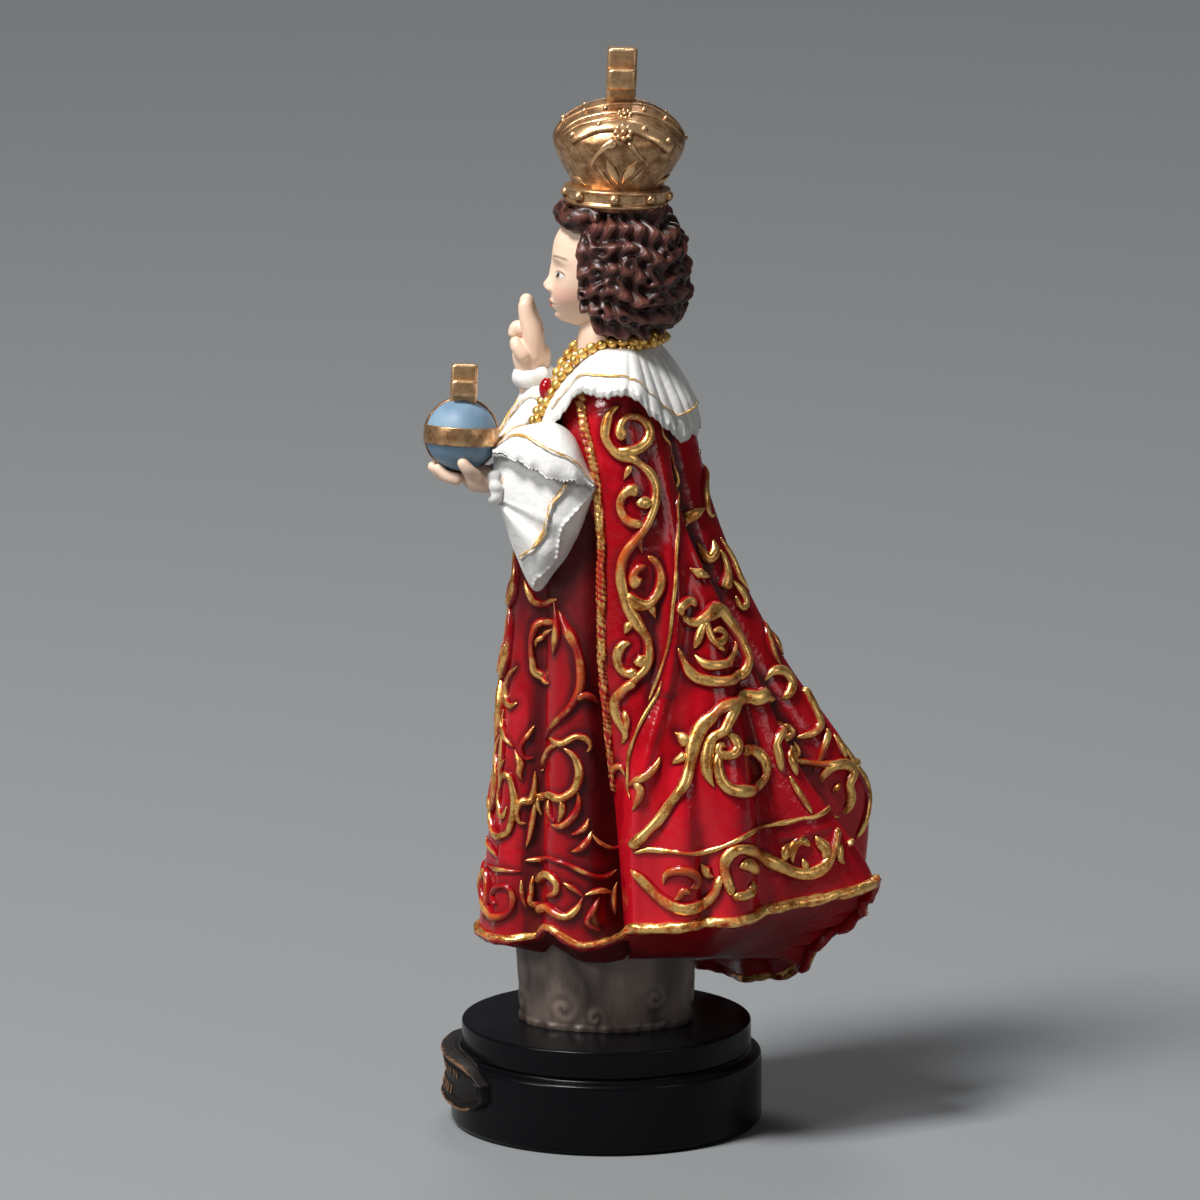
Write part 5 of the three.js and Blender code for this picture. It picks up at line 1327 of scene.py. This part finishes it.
def hairPaint(start):
    strand = start.stored("gilt")
    # rub lightens the hair by the stored shine: a painted highlight on ridges and crests, partly worn paint, with
    # painted shade under the rolled edges.
    rub = (strand * 1.1 + (start.noise(300, 4, 0.65) - 0.5) * 0.9).step(0.15, 1.0)
    return {
        "Base Color": start.blend((0.022, 0.0065, 0.005), (0.135, 0.042, 0.029), rub),
        "Roughness": 0.36 + rub * 0.08,
        "Specular IOR Level": 0.4,
        "Normal": start.bump(start.noise(900, 3, 0.6), 0.3, 0.00015),
    }


def orbBlue(start):
    cloudy = start.noise(130, 4, 0.6)
    return {
        "Base Color": start.blend((0.115, 0.20, 0.295), (0.20, 0.30, 0.385), cloudy.step(0.3, 0.7)),
        "Roughness": 0.46 + cloudy * 0.1,
        "Normal": start.bump(start.noise(900, 3, 0.6), 0.2, 0.0002),
    }


def redGem(start):
    return {
        "Base Color": start.blend((0.4, 0.004, 0.01), (0.24, 0.002, 0.008), start.noise(200, 2, 0.5)),
        "Roughness": 0.12,
        "Coat Weight": 0.6,
    }


flesh = makeMaterial(skinPaint)
curls = makeMaterial(hairPaint)
blue = makeMaterial(orbBlue)
gem = makeMaterial(redGem)
skinMarks = ("blush", "lips", "eyeWhite", "iris", "drawn")

leftHand = {
    "flat": (1, 0.85),
    "palm": [(13, -15, 105.4, 2.9), (13, -19.5, 105.2, 2.8), (12.6, -23.4, 105.4, 3.1), (12.2, -26.8, 105.6, 2.5)],
    "fingers": [
        [(14.6, -26.4, 105.4, 1.25), (14.4, -29.4, 106.2, 1.15), (13.8, -31.6, 108.2, 0.95)],
        [(12.4, -26.8, 105.2, 1.25), (12.2, -30.2, 106, 1.15), (12, -32.7, 108.2, 0.95)],
        [(10.2, -26.4, 105.4, 1.2), (9.8, -29.6, 106.2, 1.1), (9.8, -31.6, 108.4, 0.9)],
        [(10.6, -24.4, 105.4, 1.2), (8, -27.6, 106.6, 1), (7, -29.2, 109, 0.85)],
        [(15.4, -23.4, 106, 1.35), (17.4, -25.4, 108, 1.25), (17.6, -27, 110.2, 1)],
    ],
}
rightHand = {
    "flat": (0.8, 1.08),
    "palm": [(-14.4, -13, 114, 2.6), (-14.3, -13.6, 119.4, 2.9), (-14, -13.9, 123.4, 3.4), (-13.8, -13.9, 126.6, 3.0)],
    "fingers": [
        [(-12.7, -13.2, 121.6, 1.6), (-12.6, -13.6, 127, 2.0), (-12.8, -14.7, 131, 1.65), (-13, -15.2, 134.2, 1.2)],
        [(-14.9, -13.2, 121.6, 1.6), (-14.8, -13.5, 127.4, 2.0), (-14.8, -14.5, 131.4, 1.65), (-14.5, -15, 134.8, 1.2)],
        [(-15.6, -14.6, 127, 1.4), (-16.4, -16.6, 128, 1.35), (-16, -17.4, 125.8, 1.1)],
        [(-16, -14.6, 124.6, 1.3), (-17, -16.6, 125, 1.15), (-16.4, -17, 123.2, 1.0)],
        [(-11.8, -14.6, 122.6, 1.6), (-12, -16.4, 125, 1.3), (-13.2, -17.2, 126.8, 1.1)],
    ],
}


# Hand: palm and fingers as limbs, grown into one skin by a fine remesh and smoothed
def makeHand(name, hand):
    parts = [limbShape(np.array(hand["palm"]) + [0, 0, baseTop, 0], flat=hand["flat"])]
    parts += [limbShape(np.array(finger) + [0, 0, baseTop, 0]) for finger in hand["fingers"]]
    piece = makePiece(name, joined(parts), flesh)
    remesh = piece.modifiers.new("grown", "REMESH")
    remesh.mode = "VOXEL"
    remesh.voxel_size = 0.00022  # metres
    remesh.use_smooth_shade = True
    relax = piece.modifiers.new("relaxed", "SMOOTH")
    relax.factor = 0.6
    relax.iterations = 12


makeHand("leftHand", leftHand)
makeHand("rightHand", rightHand)

head = {
    "y": 1.2, "height": 143.4, "side": 8.9, "depth": 11, "rise": 12.2, "jaw": 0.2, "eyeOut": 3.6, "eyeHeight": -1.6,
}


# Swells and hollows of the face: how far each stands out, its place from the middle and up, width and height
swells = [
    (-0.8, 3.3, -0.9, 2.2, 1.5), (0.75, head["eyeOut"], head["eyeHeight"], 1.5, 1.1),
    (0.3, 3.6, 1.5, 2.6, 1.1), (0.5, 0, 4.5, 4.5, 3.2), (0.75, 0, -1.9, 1.0, 2.4), (1.5, 0, -4.2, 1.25, 1.25),
    (0.6, 1.2, -4.75, 0.65, 0.6), (-0.25, 0.55, -5.35, 0.3, 0.2), (-0.12, 0, -6.1, 0.35, 0.5),
    (0.6, 0, -7.4, 2.4, 1.6), (0.32, 0.45, -7.05, 1.3, 0.4), (0.4, 0, -8.05, 1.2, 0.45),
    (-0.25, 0, -7.52, 1.9, 0.16), (-0.35, 0, -9.0, 1.4, 0.45), (1.1, 0, -10.3, 2.1, 1.2),
    (1.0, 4.4, -6.0, 2.6, 2.7),
]


def bumpAt(across, up, atAcross, atUp, wide, tall):
    return np.exp(-(((across - atAcross) / wide) ** 2) - ((up - atUp) / tall) ** 2)


# Head: an oval that narrows to the jaw. The features of a calm child's face on plain proportions are
# round swells and hollows added on its front, and what is painted on it is kept as stored values.
def headShape():
    front = np.linspace(-78, 78, 260)
    angle = np.radians(np.append(front, np.linspace(78, 282, 40)[1:-1]))
    polar = mix(0.06, np.pi - 0.06, np.linspace(0, 1, 230))
    a, p = np.meshgrid(angle, polar)
    level = np.cos(p)
    facing = np.maximum(0, np.cos(a))
    jaw = 1 - head["jaw"] * smooth((-level - 0.1) / 0.8) * (1 - facing**2 * 0.6)
    r = np.sin(p) * jaw
    x, up = np.sin(a) * head["side"] * r, level * head["rise"]
    out = np.abs(x)
    eyeOut, eyeHeight = head["eyeOut"], head["eyeHeight"]
    lid = (out - eyeOut) / 1.75
    openTop = eyeHeight + 0.72 * np.sqrt(np.clip(1 - lid**2, 0, 1)) - 0.1
    openLow = eyeHeight - 0.5 * np.sqrt(np.clip(1 - lid**2, 0, 1)) - 0.1
    rise = sum(tall * bumpAt(out, up, *place) for tall, *place in swells)
    rise = rise + 0.1 * bell(up - openTop, 0.16) * (np.abs(lid) < 1)
    plane = np.clip(1 - np.abs(level) ** 6.0, 0, 1) ** (1 / 2.6)
    deep = head["depth"] * mix(r, plane, facing**0.5 * smooth(-level * 3 + 0.6))
    y = head["y"] - np.cos(a) * deep - rise * facing**0.6
    points = np.stack([x, y, up + head["height"] + baseTop], axis=-1)
    inFront = facing > 0.3
    inEye = smooth((openTop - up) / 0.12) * smooth((up - openLow) / 0.12) * (np.abs(lid) < 1) * inFront
    iris = smooth((0.62 - np.hypot(out - eyeOut, up - eyeHeight + 0.05)) / 0.12) * inEye
    lash = bell(up - openTop - 0.03, 0.14) * smooth((1.08 - np.abs(lid)) / 0.15) * inFront
    under = 0.45 * bell(up - openLow, 0.08) * smooth((1.0 - np.abs(lid)) / 0.2) * inFront
    browTop = 1.25 + 0.55 * np.cos((out - 3.7) / 2)
    brow = 0.8 * bell(up - browTop, 0.2) * smooth((out - 1.5) / 0.5) * smooth((6.2 - out) / 0.9) * inFront
    lipTop = -6.72 - 0.1 * out + 0.15 * bell(out - 0.5, 0.35)
    upper = smooth((1.75 - out) / 0.5) * smooth((up + 7.55) / 0.1) * smooth((lipTop - up) / 0.15)
    lower = smooth((1.4 - out) / 0.5) * smooth((-7.5 - up) / 0.1) * smooth((up + 8.4 - 0.18 * out**2) / 0.15)
    flushed = ((1, 4.6, -5.4, 2.4, 2.0), (0.4, 0, -4.6, 1.2, 0.9), (0.3, 0, -10.2, 2, 1.2))
    blush = sum(share * bumpAt(out, up, *place) for share, *place in flushed)
    values = {
        "blush": blush * inFront, "lips": np.clip(upper + lower, 0, 1) * inFront, "eyeWhite": inEye, "iris": iris,
        "drawn": np.clip(lash + under + brow, 0, 1),
    }
    return gridShape(points, values)


def plainSkin(path):
    shape = limbShape(path, 60, 40)
    shape["values"] = {name: np.zeros(len(shape["points"])) for name in skinMarks}
    return shape


neck = plainSkin([(0, 1.6, 141, 7.2), (0, 0.7, 148, 6.0), (0, 0.9, 154.8, 5.8)])
makePiece("head", joined([headShape(), neck]), flesh)

hair = {
    "y": 3, "bottom": 129.4, "top": 154.8, "side": [9.6, 12.5, 13, 12.6, 9.6], "back": [8.6, 12, 13, 12.8, 8.4],
    "hairline": [30, 37, 40.5, 43.5, 60], "lock": 3.1, "wave": 4.2, "sway": 0.6, "crimp": 0.72, "ridge": 1.0,
    "strand": 0.05, "swirls": 64, "columns": 390, "rows": 200, "inside": 6.5, "round": 12,
    "fringe": {"height": 152.8, "reach": 11.4, "tall": 2.1, "thick": 1.7, "spread": 62, "swirls": 26},
}
lockPhase = chance.uniform(-0.8, 0.8, 64)


def scattered(count, wide, low, high):
    spots = [chance.uniform(-wide, wide, count), chance.uniform(low, high, count)]
    return np.stack([*spots, chance.uniform(1.0, 1.7, count), chance.uniform(0.5, 1.1, count)], axis=1)


swirls = {"hair": scattered(hair["swirls"], 30, 3, 25), "fringe": scattered(hair["fringe"]["swirls"], 17, 0, 9)}


# Hair's outer form: from top to bottom, ovals whose side and back radii follow two curves
def hairSurface(angle, fall):
    a = np.radians(angle)
    side, back = along(hair["side"], fall), along(hair["back"], fall)
    reach = ovalReach(a, side, np.where(np.cos(a) > 0, side, back))
    return aroundAxis(a, reach, mix(hair["top"], hair["bottom"], fall) + baseTop, hair["y"])


# How far the hair stands out, for millimetres round the head from its back and down from its top.
# Locks lie side by side as rounded ridges that sway in nearly equal steps and are crimped with them;
# each has fine strands, and here and there a ring with a deep hollow stands for a curl.
def hairRelief(u, v, spots):
    u, v = (u + 0.6 * np.sin(v / 3.1 + u / 4.7) + 0.3 * np.sin(v / 1.5 - u / 2.3),
            v + 0.6 * np.sin(u / 2.6 + v / 3.7) + 0.25 * np.sin(u / 1.3 - v / 2.1))
    beat = 2 * np.pi * v / hair["wave"] + 1.4 * np.sin(u / 5.3) + 0.7 * np.sin(u / 2.9 + 1.7)
    lock = (u + hair["sway"] * np.sin(beat)) / hair["lock"]
    phase = lockPhase[np.round(lock).astype(int) % len(lockPhase)]
    crimp = np.cos(beat + 0.9 + 1.4 * phase)
    ridge = np.sqrt(np.cos(np.pi * lock) ** 2 + 0.05)
    strand = np.cos(2 * np.pi * (lock * 3.5 + 0.15 * np.sin(beat)))
    out = hair["ridge"] * (ridge - 1) + hair["crimp"] * (crimp - 1) + hair["strand"] * strand * ridge
    # shine is a painted highlight on the lock ridges and the crests of the crimps, partly worn paint there. Curl pits
    # are painted dark and their rims light.
    shine = 0.35 + 0.1 * strand + 0.4 * (ridge - 0.5) + 0.3 * crimp
    for atU, atV, size, deep in spots:
        away, down = u - atU, v - atV
        d = np.hypot(away * 0.9, down) / size
        near = 0.8 * np.exp(-((d / 1.2) ** 3))
        rim = bell(d - 0.9 + 0.12 * np.sin(2 * np.arctan2(down, away) + 5 * deep), 0.38)
        out = mix(out, 0.15 * rim - 0.3 - deep * 1.3 * bell(d, 0.5), near)
        shine = mix(shine, 0.6 * rim, near)
    return out, np.clip(shine, 0, 1)


# Hair: from one side of the face round the back to the other, rolled in at the edge and below,
# with a return inside the head
def hairShape():
    falls = np.linspace(0, 1, hair["rows"])
    fall, share = np.meshgrid(falls, np.linspace(0, 1, hair["columns"]), indexing="ij")
    hairline = along(hair["hairline"], fall)
    angle = mix(hairline, 360 - hairline, share)
    on = hairSurface(angle, fall)
    outward = outwardOf(hairSurface, angle, fall)
    u = np.radians(angle - 180) * hair["round"]
    tall = hair["top"] - hair["bottom"]
    v = fall * tall
    out, shine = hairRelief(u, v, swirls["hair"])
    toEdge = np.minimum(share, 1 - share) * np.radians(360 - 2 * hairline) * hair["round"]
    roll = 1 - roundedEnd(toEdge / 2.2)
    toEnd = (1 - fall) * tall + 0.9 * np.sin(u / 1.1 + np.sin(u / 2.9))
    under = 1 - roundedEnd((toEnd - 0.2) / 2.4)
    points = on + outward * (out - 3.2 * np.maximum(roll, 0.7 * under))[..., None]
    back = np.radians(mix(360 - hairline[:, -1:], hairline[:, :1], np.linspace(0, 1, 8)[None]))
    hidden = aroundAxis(back, hair["inside"], on[:, :1, 2], hair["y"])
    # Painted shade: the shine is taken down on the rolled-in edge and underneath, and the hidden return is dark.
    shine = np.concatenate([shine * (1 - 0.7 * np.maximum(roll, under)), np.zeros(back.shape)], axis=1)
    return gridShape(np.concatenate([points, hidden], axis=1), {"gilt": shine})


# Fringe: a rolled band under the crown, from temple to temple
def fringeShape():
    band = hair["fringe"]
    turns = np.radians(np.linspace(-band["spread"], band["spread"], 200))
    turn, section = np.meshgrid(turns, fullTurn(56), indexing="ij")
    out, shine = hairRelief(turn * hair["round"], 2.4 * section, swirls["fringe"])
    swelled = out * np.abs(np.sin(section / 2)) ** 0.5
    thick, tall = band["thick"] + 0.6 * swelled, band["tall"] * (1 + 0.16 * swelled)
    reach = band["reach"] + thick * np.sin(section) - 2.4 * smooth((np.abs(turn) - 0.62) / 0.4)
    z = band["height"] + tall * np.cos(section) + 0.3 * np.sin(turn * 9) + baseTop
    return gridShape(aroundAxis(turn, reach, z, hair["y"]), {"gilt": shine})


makePiece("hair", hairShape(), curls)
makePiece("fringe", fringeShape(), curls)

# Bead strands and pendant
necklace = {
    "chain": 1.05, "ring": 0.82,
    "half": [
        (0, 10.8, 129.4), (5.4, 8.4, 129.8), (7.6, 3.2, 130), (7.4, -1.6, 129.2), (6.6, -5.2, 127),
        (5.9, -7.9, 123.8), (5.1, -9.9, 120), (4.4, -11.9, 116.4), (3.2, -13.6, 112.6), (0, -14.8, 108.4),
    ],
}


# Ball: rings as wide as the sine and as high as the cosine of the polar angle, times its radius or radii
def ballShape(centre, radius, around=14, rows=9):
    polar = np.linspace(0.12, np.pi - 0.12, rows)[:, None]
    rings = aroundAxis(fullTurn(around), np.sin(polar), np.cos(polar))
    # Its gilt is painted light: highest on top and lowest underneath, so the crown's studs are lighter on top.
    return gridShape(np.array(centre) + rings * np.array(radius), {"gilt": 0.5 + 0.5 * np.cos(polar)})


# Places a bead's width apart along a closed line
def beadsAlong(points, radius):
    run = lengthAlong(points)
    even = np.linspace(0, run[-1], int(run[-1] / (1.86 * radius)) + 1)
    return pointsAt(even, run, points)


def makeBeads():
    half = np.array(necklace["half"], float)
    whole = np.concatenate([half, half[-2::-1] * [-1, 1, 1]])
    strand = curvedRows(whole, 40) + [0, 0, baseTop]
    a = np.linspace(0.85, 2 * np.pi - 0.85, 400)
    rings = [np.stack([np.sin(a) * (6.6 + r), 3.6 - np.cos(a) * (6.4 + r), z + baseTop - 0.8 * np.cos(a)], axis=1)
             for r, z in ((0.2, 129.9), (0.9, 128.7))]
    sizes = ((strand, necklace["chain"]), (rings[0], necklace["ring"]), (rings[1], necklace["ring"]))
    beads = [(place, size) for path, size in sizes for place in beadsAlong(path, size)]
    return joined([ballShape(place, size * chance.uniform(0.88, 1.12, 3), 12, 8) for place, size in beads])


makePiece("beads", makeBeads(), beadFinish)
pendant = {"at": (3.2, -11.0, 139.6), "radius": (1.5, 1.45, 2.2)}
makePiece("pendant", ballShape(pendant["at"], pendant["radius"], 40, 24), gem)

# Crown and orb
crown = {
    "y": 1.9, "foot": 155.6 + baseTop, "tilt": 2.2, "lean": 3,
    "ring": [(0, -1.9, 0), (8.4, -1.9, 0.4), (9.0, -1.2, 0.3), (9.5, -0.95, 0.3), (9.5, -0.4, 0.3),
             (9.15, -0.2, 0.2), (9.35, 1.5, 0.3), (9.85, 1.6, 0.3), (9.85, 2.1, 0.3), (9.3, 2.3, 0.3),
             (8.4, 2.35, 0.2), (0, 2.35, 0)],
    "bulb": [(0, 18.2), (3.4, 18.0), (6.7, 16.9), (10.1, 14.7), (11.9, 12.3), (12.2, 10.4), (11.4, 8),
             (10.1, 5.6), (8.9, 3.6), (8.2, 1.8)],
    "studs": 8, "firstStud": 42, "studRadius": 1.1, "studAt": (9.4, 9.3, 0.7), "crossBase": 17.6,
    "cross": {"height": 10.2, "span": 10, "bar": 4, "thick": 5.6},
}
crownSheets = [
    {"corner": (540, 35), "scale": 170 / 1481, "strokes": [
        ([0.3], [150, 840, 200, 755, 300, 690, 420, 640, 560, 612, 680, 600, 820, 600, 960, 630, 1090, 700, 1200, 795,
         1270, 880]),
        ([0.3], [180, 860, 260, 780, 370, 722, 500, 690, 640, 675, 830, 680, 960, 705, 1080, 755, 1180, 825,
         1255, 910]),
        ([0.3], [205, 880, 300, 800, 420, 757, 560, 733, 700, 728, 840, 748, 960, 785, 1080, 845, 1185, 925,
         1235, 985]),
        ([0.95, 1.15, 1.15, 1.15, 1.15, 1.15, 0.9], [265, 915, 370, 855, 480, 815, 600, 793, 720, 790, 840, 812,
         960, 858, 1070, 920, 1150, 985]),
        ([0.75, 0.5, 0.35, 0.3, 0.25], [670, 940, 600, 955, 530, 1010, 470, 1080, 450, 1150]),
        ([0.6, 0.35, 0.3, 0.3, 0.25], [770, 940, 830, 1010, 880, 1070, 915, 1105, 940, 1140]),
        ([0.2, 0.7, 0.6, 0.3], [575, 1080, 610, 1150, 650, 1230, 682, 1310]),
        ([0.2, 0.6, 0.6, 0.3], [845, 1090, 800, 1165, 750, 1235, 712, 1310]),
        ([0.2, 0.4, 0.3], [500, 1150, 560, 1230, 620, 1310]),
        ([0.2, 0.4, 0.3], [900, 1170, 840, 1240, 780, 1310]),
        ([0.4, 0.5, 0.3], [290, 1220, 340, 1262, 400, 1300]),
        ([0.3, 0.6, 0.3], [1135, 1215, 1065, 1265, 1000, 1305]),
    ]},
]
# Studs in the same enlargement: across, down and radius in millimetres. The first four are on the band.
crownStuds = [
    (295, 880, 0.62), (520, 790, 0.62), (905, 830, 0.62), (1105, 930, 0.62), (205, 745, 0.45), (390, 660, 0.5),
    (570, 640, 0.5), (905, 655, 0.55), (1095, 728, 0.5), (1275, 890, 0.45), (730, 850, 0.6), (740, 690, 0.5),
]
rosettes = {10: (1.35, 0.62), 11: (1.1, 0.42)}  # reach and size of the petals round two of the studs


# The crown's dome as a surface: an angle, and a fall of 0 at its top to 1 at its foot
def bulbSurface(angle, fall):
    a = np.radians(angle)
    profile = np.array(crown["bulb"]).T
    return crownPlace(aroundAxis(a, along(profile[0], fall), along(profile[1], fall)))


# Points turned about two level axes: back by tilt degrees and away from the camera by lean
def leaned(points, tilt, lean):
    tilt, lean = math.radians(tilt), math.radians(lean)
    x, y, z = points[..., 0], points[..., 1], points[..., 2]
    x, z = x * math.cos(lean) - z * math.sin(lean), x * math.sin(lean) + z * math.cos(lean)
    y, z = y * math.cos(tilt) + z * math.sin(tilt), z * math.cos(tilt) - y * math.sin(tilt)
    return np.stack([x, y, z], axis=-1)


def crownPlace(points):
    return leaned(points, crown["tilt"], crown["lean"]) + np.array([0, crown["y"], crown["foot"]])


def placed(shape, place):
    return turnedOut({**shape, "points": place(shape["points"])})


# A block with softened edges: rounded squares stacked up, drawn in at both ends
def blockShape(low, high, softness=0.55):
    low, high = np.array(low, float), np.array(high, float)
    middle, half = (low + high) / 2, (high - low) / 2
    turn = fullTurn(48)
    cosine, sine = np.cos(turn), np.sin(turn)
    power = 9  # of the rounded square's outline
    roundness = (np.abs(cosine) ** power + np.abs(sine) ** power) ** (1 / power)
    outline = np.stack([cosine, sine], axis=1) / roundness[:, None]
    steps = np.linspace(0, np.pi / 2, 6)
    drawn = softness * (1 - np.sin(steps))
    rise = softness * (1 - np.cos(steps))
    heights = np.concatenate([-half[2] + rise, half[2] - rise[::-1]])
    inset = np.concatenate([drawn, drawn[::-1]])
    xy = outline[None] * (half[:2] - inset[:, None])[:, None]
    points = np.concatenate([xy, np.broadcast_to(heights[:, None, None], (len(heights), len(turn), 1))], axis=2)
    return gridShape(points + middle, {"gilt": 0.6})


# Cross: an upright and a slightly thicker bar
def crossShape(sizes, base):
    half, thick = sizes["bar"] / 2, sizes["thick"] / 2
    arm = base + sizes["height"] - sizes["bar"] * 1.35
    return joined([
        blockShape((-half, -thick + 0.06, base), (half, thick - 0.06, base + sizes["height"])),
        blockShape((-sizes["span"] / 2, -thick, arm - half + 0.1), (sizes["span"] / 2, thick, arm + half - 0.1)),
    ])


def crownBeads():
    spots = np.array(crownStuds)
    path = strokesOnSurface(bulbSurface, [{**crownSheets[0], "strokes": [([1], spots[:, :2])]}], 0, 180)[0][1]
    stand = np.where(np.arange(len(path)) < 4, 0.4, 0.05)[:, None]
    balls = []
    for hand in (1, -1):
        on = bulbSurface(path[:, 0] * hand, path[:, 1])
        proud = outwardOf(bulbSurface, path[:, 0] * hand, path[:, 1]) * stand
        balls += [ballShape(p, r) for p, r in zip(on + proud, spots[:, 2])]
        for row, (wide, small) in rosettes.items():
            spot = (path[[row], 0] * hand, path[[row], 1])
            centre, out = bulbSurface(*spot)[0], outwardOf(bulbSurface, *spot)[0]
            side = unit(np.cross([0, 0, 1], out))
            up = np.cross(out, side)
            for petal in fullTurn(8):
                place = centre + wide * (math.cos(petal) * side + math.sin(petal) * up)
                balls.append(ballShape(place, small, 10, 6))
    for k in range(crown["studs"]):
        turn = math.radians(crown["firstStud"] + 360 * k / crown["studs"])
        wide, deep, height = crown["studAt"]
        spot = np.array([math.sin(turn) * wide, -math.cos(turn) * deep, height])
        balls.append(ballShape(crownPlace(spot), crown["studRadius"]))
    return joined(balls)


def makeCrown():
    turn, fall = np.meshgrid(np.linspace(0, 360, 220, endpoint=False), np.linspace(0, 1, 80))
    bulb = gridShape(bulbSurface(turn, fall), {"gilt": 0.35})
    ring = placed(turnedShape(roundedProfile(crown["ring"], 5), 180, {"gilt": 0.55}), crownPlace)
    top = placed(crossShape(crown["cross"], crown["crossBase"]), crownPlace)
    return joined([bulb, ring, top])


crownStrokes = strokesOnSurface(bulbSurface, crownSheets, 0, 180)
crownAll = crownStrokes + mirroredStrokes(crownStrokes, 400)
makePiece("crown", makeCrown(), gold)
makePiece("crownRelief", carvedCords(bulbSurface, crownAll, 0.5, 0.7)[0], gold)
makePiece("crownBeads", crownBeads(), gold)

orb = {
    "at": (12, -26.7, 132.9), "radius": 6.65, "bandHeight": 3.4, "bandThick": 0.4, "hoopThick": 0.28,
    "hoopWide": 0.7, "tilt": 3, "lean": 7,
    "cross": {"height": 7.4, "span": 7.6, "bar": 3.2, "thick": 5},
}


def orbPlace(points):
    return leaned(points, orb["tilt"], orb["lean"]) + np.array(orb["at"])


# Orb: a ball, a band round its middle, a hoop over it and a cross on top
def makeOrb():
    radius, half, thick = orb["radius"], orb["bandHeight"] / 2, orb["bandThick"]
    makePiece("orbBall", ballShape(orb["at"], radius, 120, 70), blue)
    inner, outer = radius - 1, radius + thick
    edge = outer - 0.15
    corners = [(inner, -half, 0), (edge, -half, 0.2), (outer, 0, 1), (edge, half, 0.2), (inner, half, 0)]
    band = turnedShape(roundedProfile(corners, 6), 120, {"gilt": 0.4})
    turn = np.linspace(0, 2 * np.pi, 160)
    hoop = np.stack([0 * turn, np.cos(turn) * (radius + 0.05), np.sin(turn) * (radius + 0.05)], axis=1)
    ring = circles(fullTurn(16), unit(hoop) * orb["hoopThick"], np.array([[orb["hoopWide"], 0, 0]]))
    parts = [band, gridShape(hoop[:, None] + ring, {"gilt": 0.3}, closed=False), crossShape(orb["cross"], inner)]
    makePiece("orbMounts", joined([placed(part, orbPlace) for part in parts]), gold)


makeOrb()

# Floor and lights
def paleFloor(start):
    return {"Base Color": (0.2, 0.208, 0.213), "Roughness": 0.9}


def makeStage():
    mesh = bpy.data.meshes.new("floor")
    far = 8  # metres from the middle to each side
    mesh.from_pydata([(-far, -far, 0), (far, -far, 0), (far, far, 0), (-far, far, 0)], [], [(0, 1, 2, 3)])
    mesh.materials.append(makeMaterial(paleFloor))
    floor = intoScene(bpy.data.objects.new("floor", mesh))


lights = [
    # name, place in metres, size in metres, watts
    ("overhead", (0.5, -0.6, 1.45), 0.36, 35),
    ("frontLeft", (0.8, -1.2, 0.9), 0.36, 9),
    ("right", (1.1, 1.2, 0.6), 0.6, 2.4),
    ("back", (-1.7, 0.1, 2), 0.8, 17),
]
aimPoint = (0, 0, 0.1)


def makeLights():
    for name, place, size, power in lights:
        data = bpy.data.lights.new(name, "AREA")
        data.size = size
        data.energy = power
        lamp = intoScene(bpy.data.objects.new(name, data))
        lamp.location = place
        aim = np.array(aimPoint) - np.array(place)
        lamp.rotation_euler = Vector(aim).to_track_quat("-Z", "Y").to_euler()
    world = bpy.data.worlds.new("studio")
    bpy.context.scene.world = world
    world.use_nodes = True
    sky = world.node_tree.nodes["Background"].inputs
    sky["Color"].default_value = (0.9, 0.93, 1, 1)
    sky["Strength"].default_value = 0.06
    bpy.context.scene.view_settings.view_transform = "Standard"


makeStage()
makeLights()
print("floor and lights are in place")
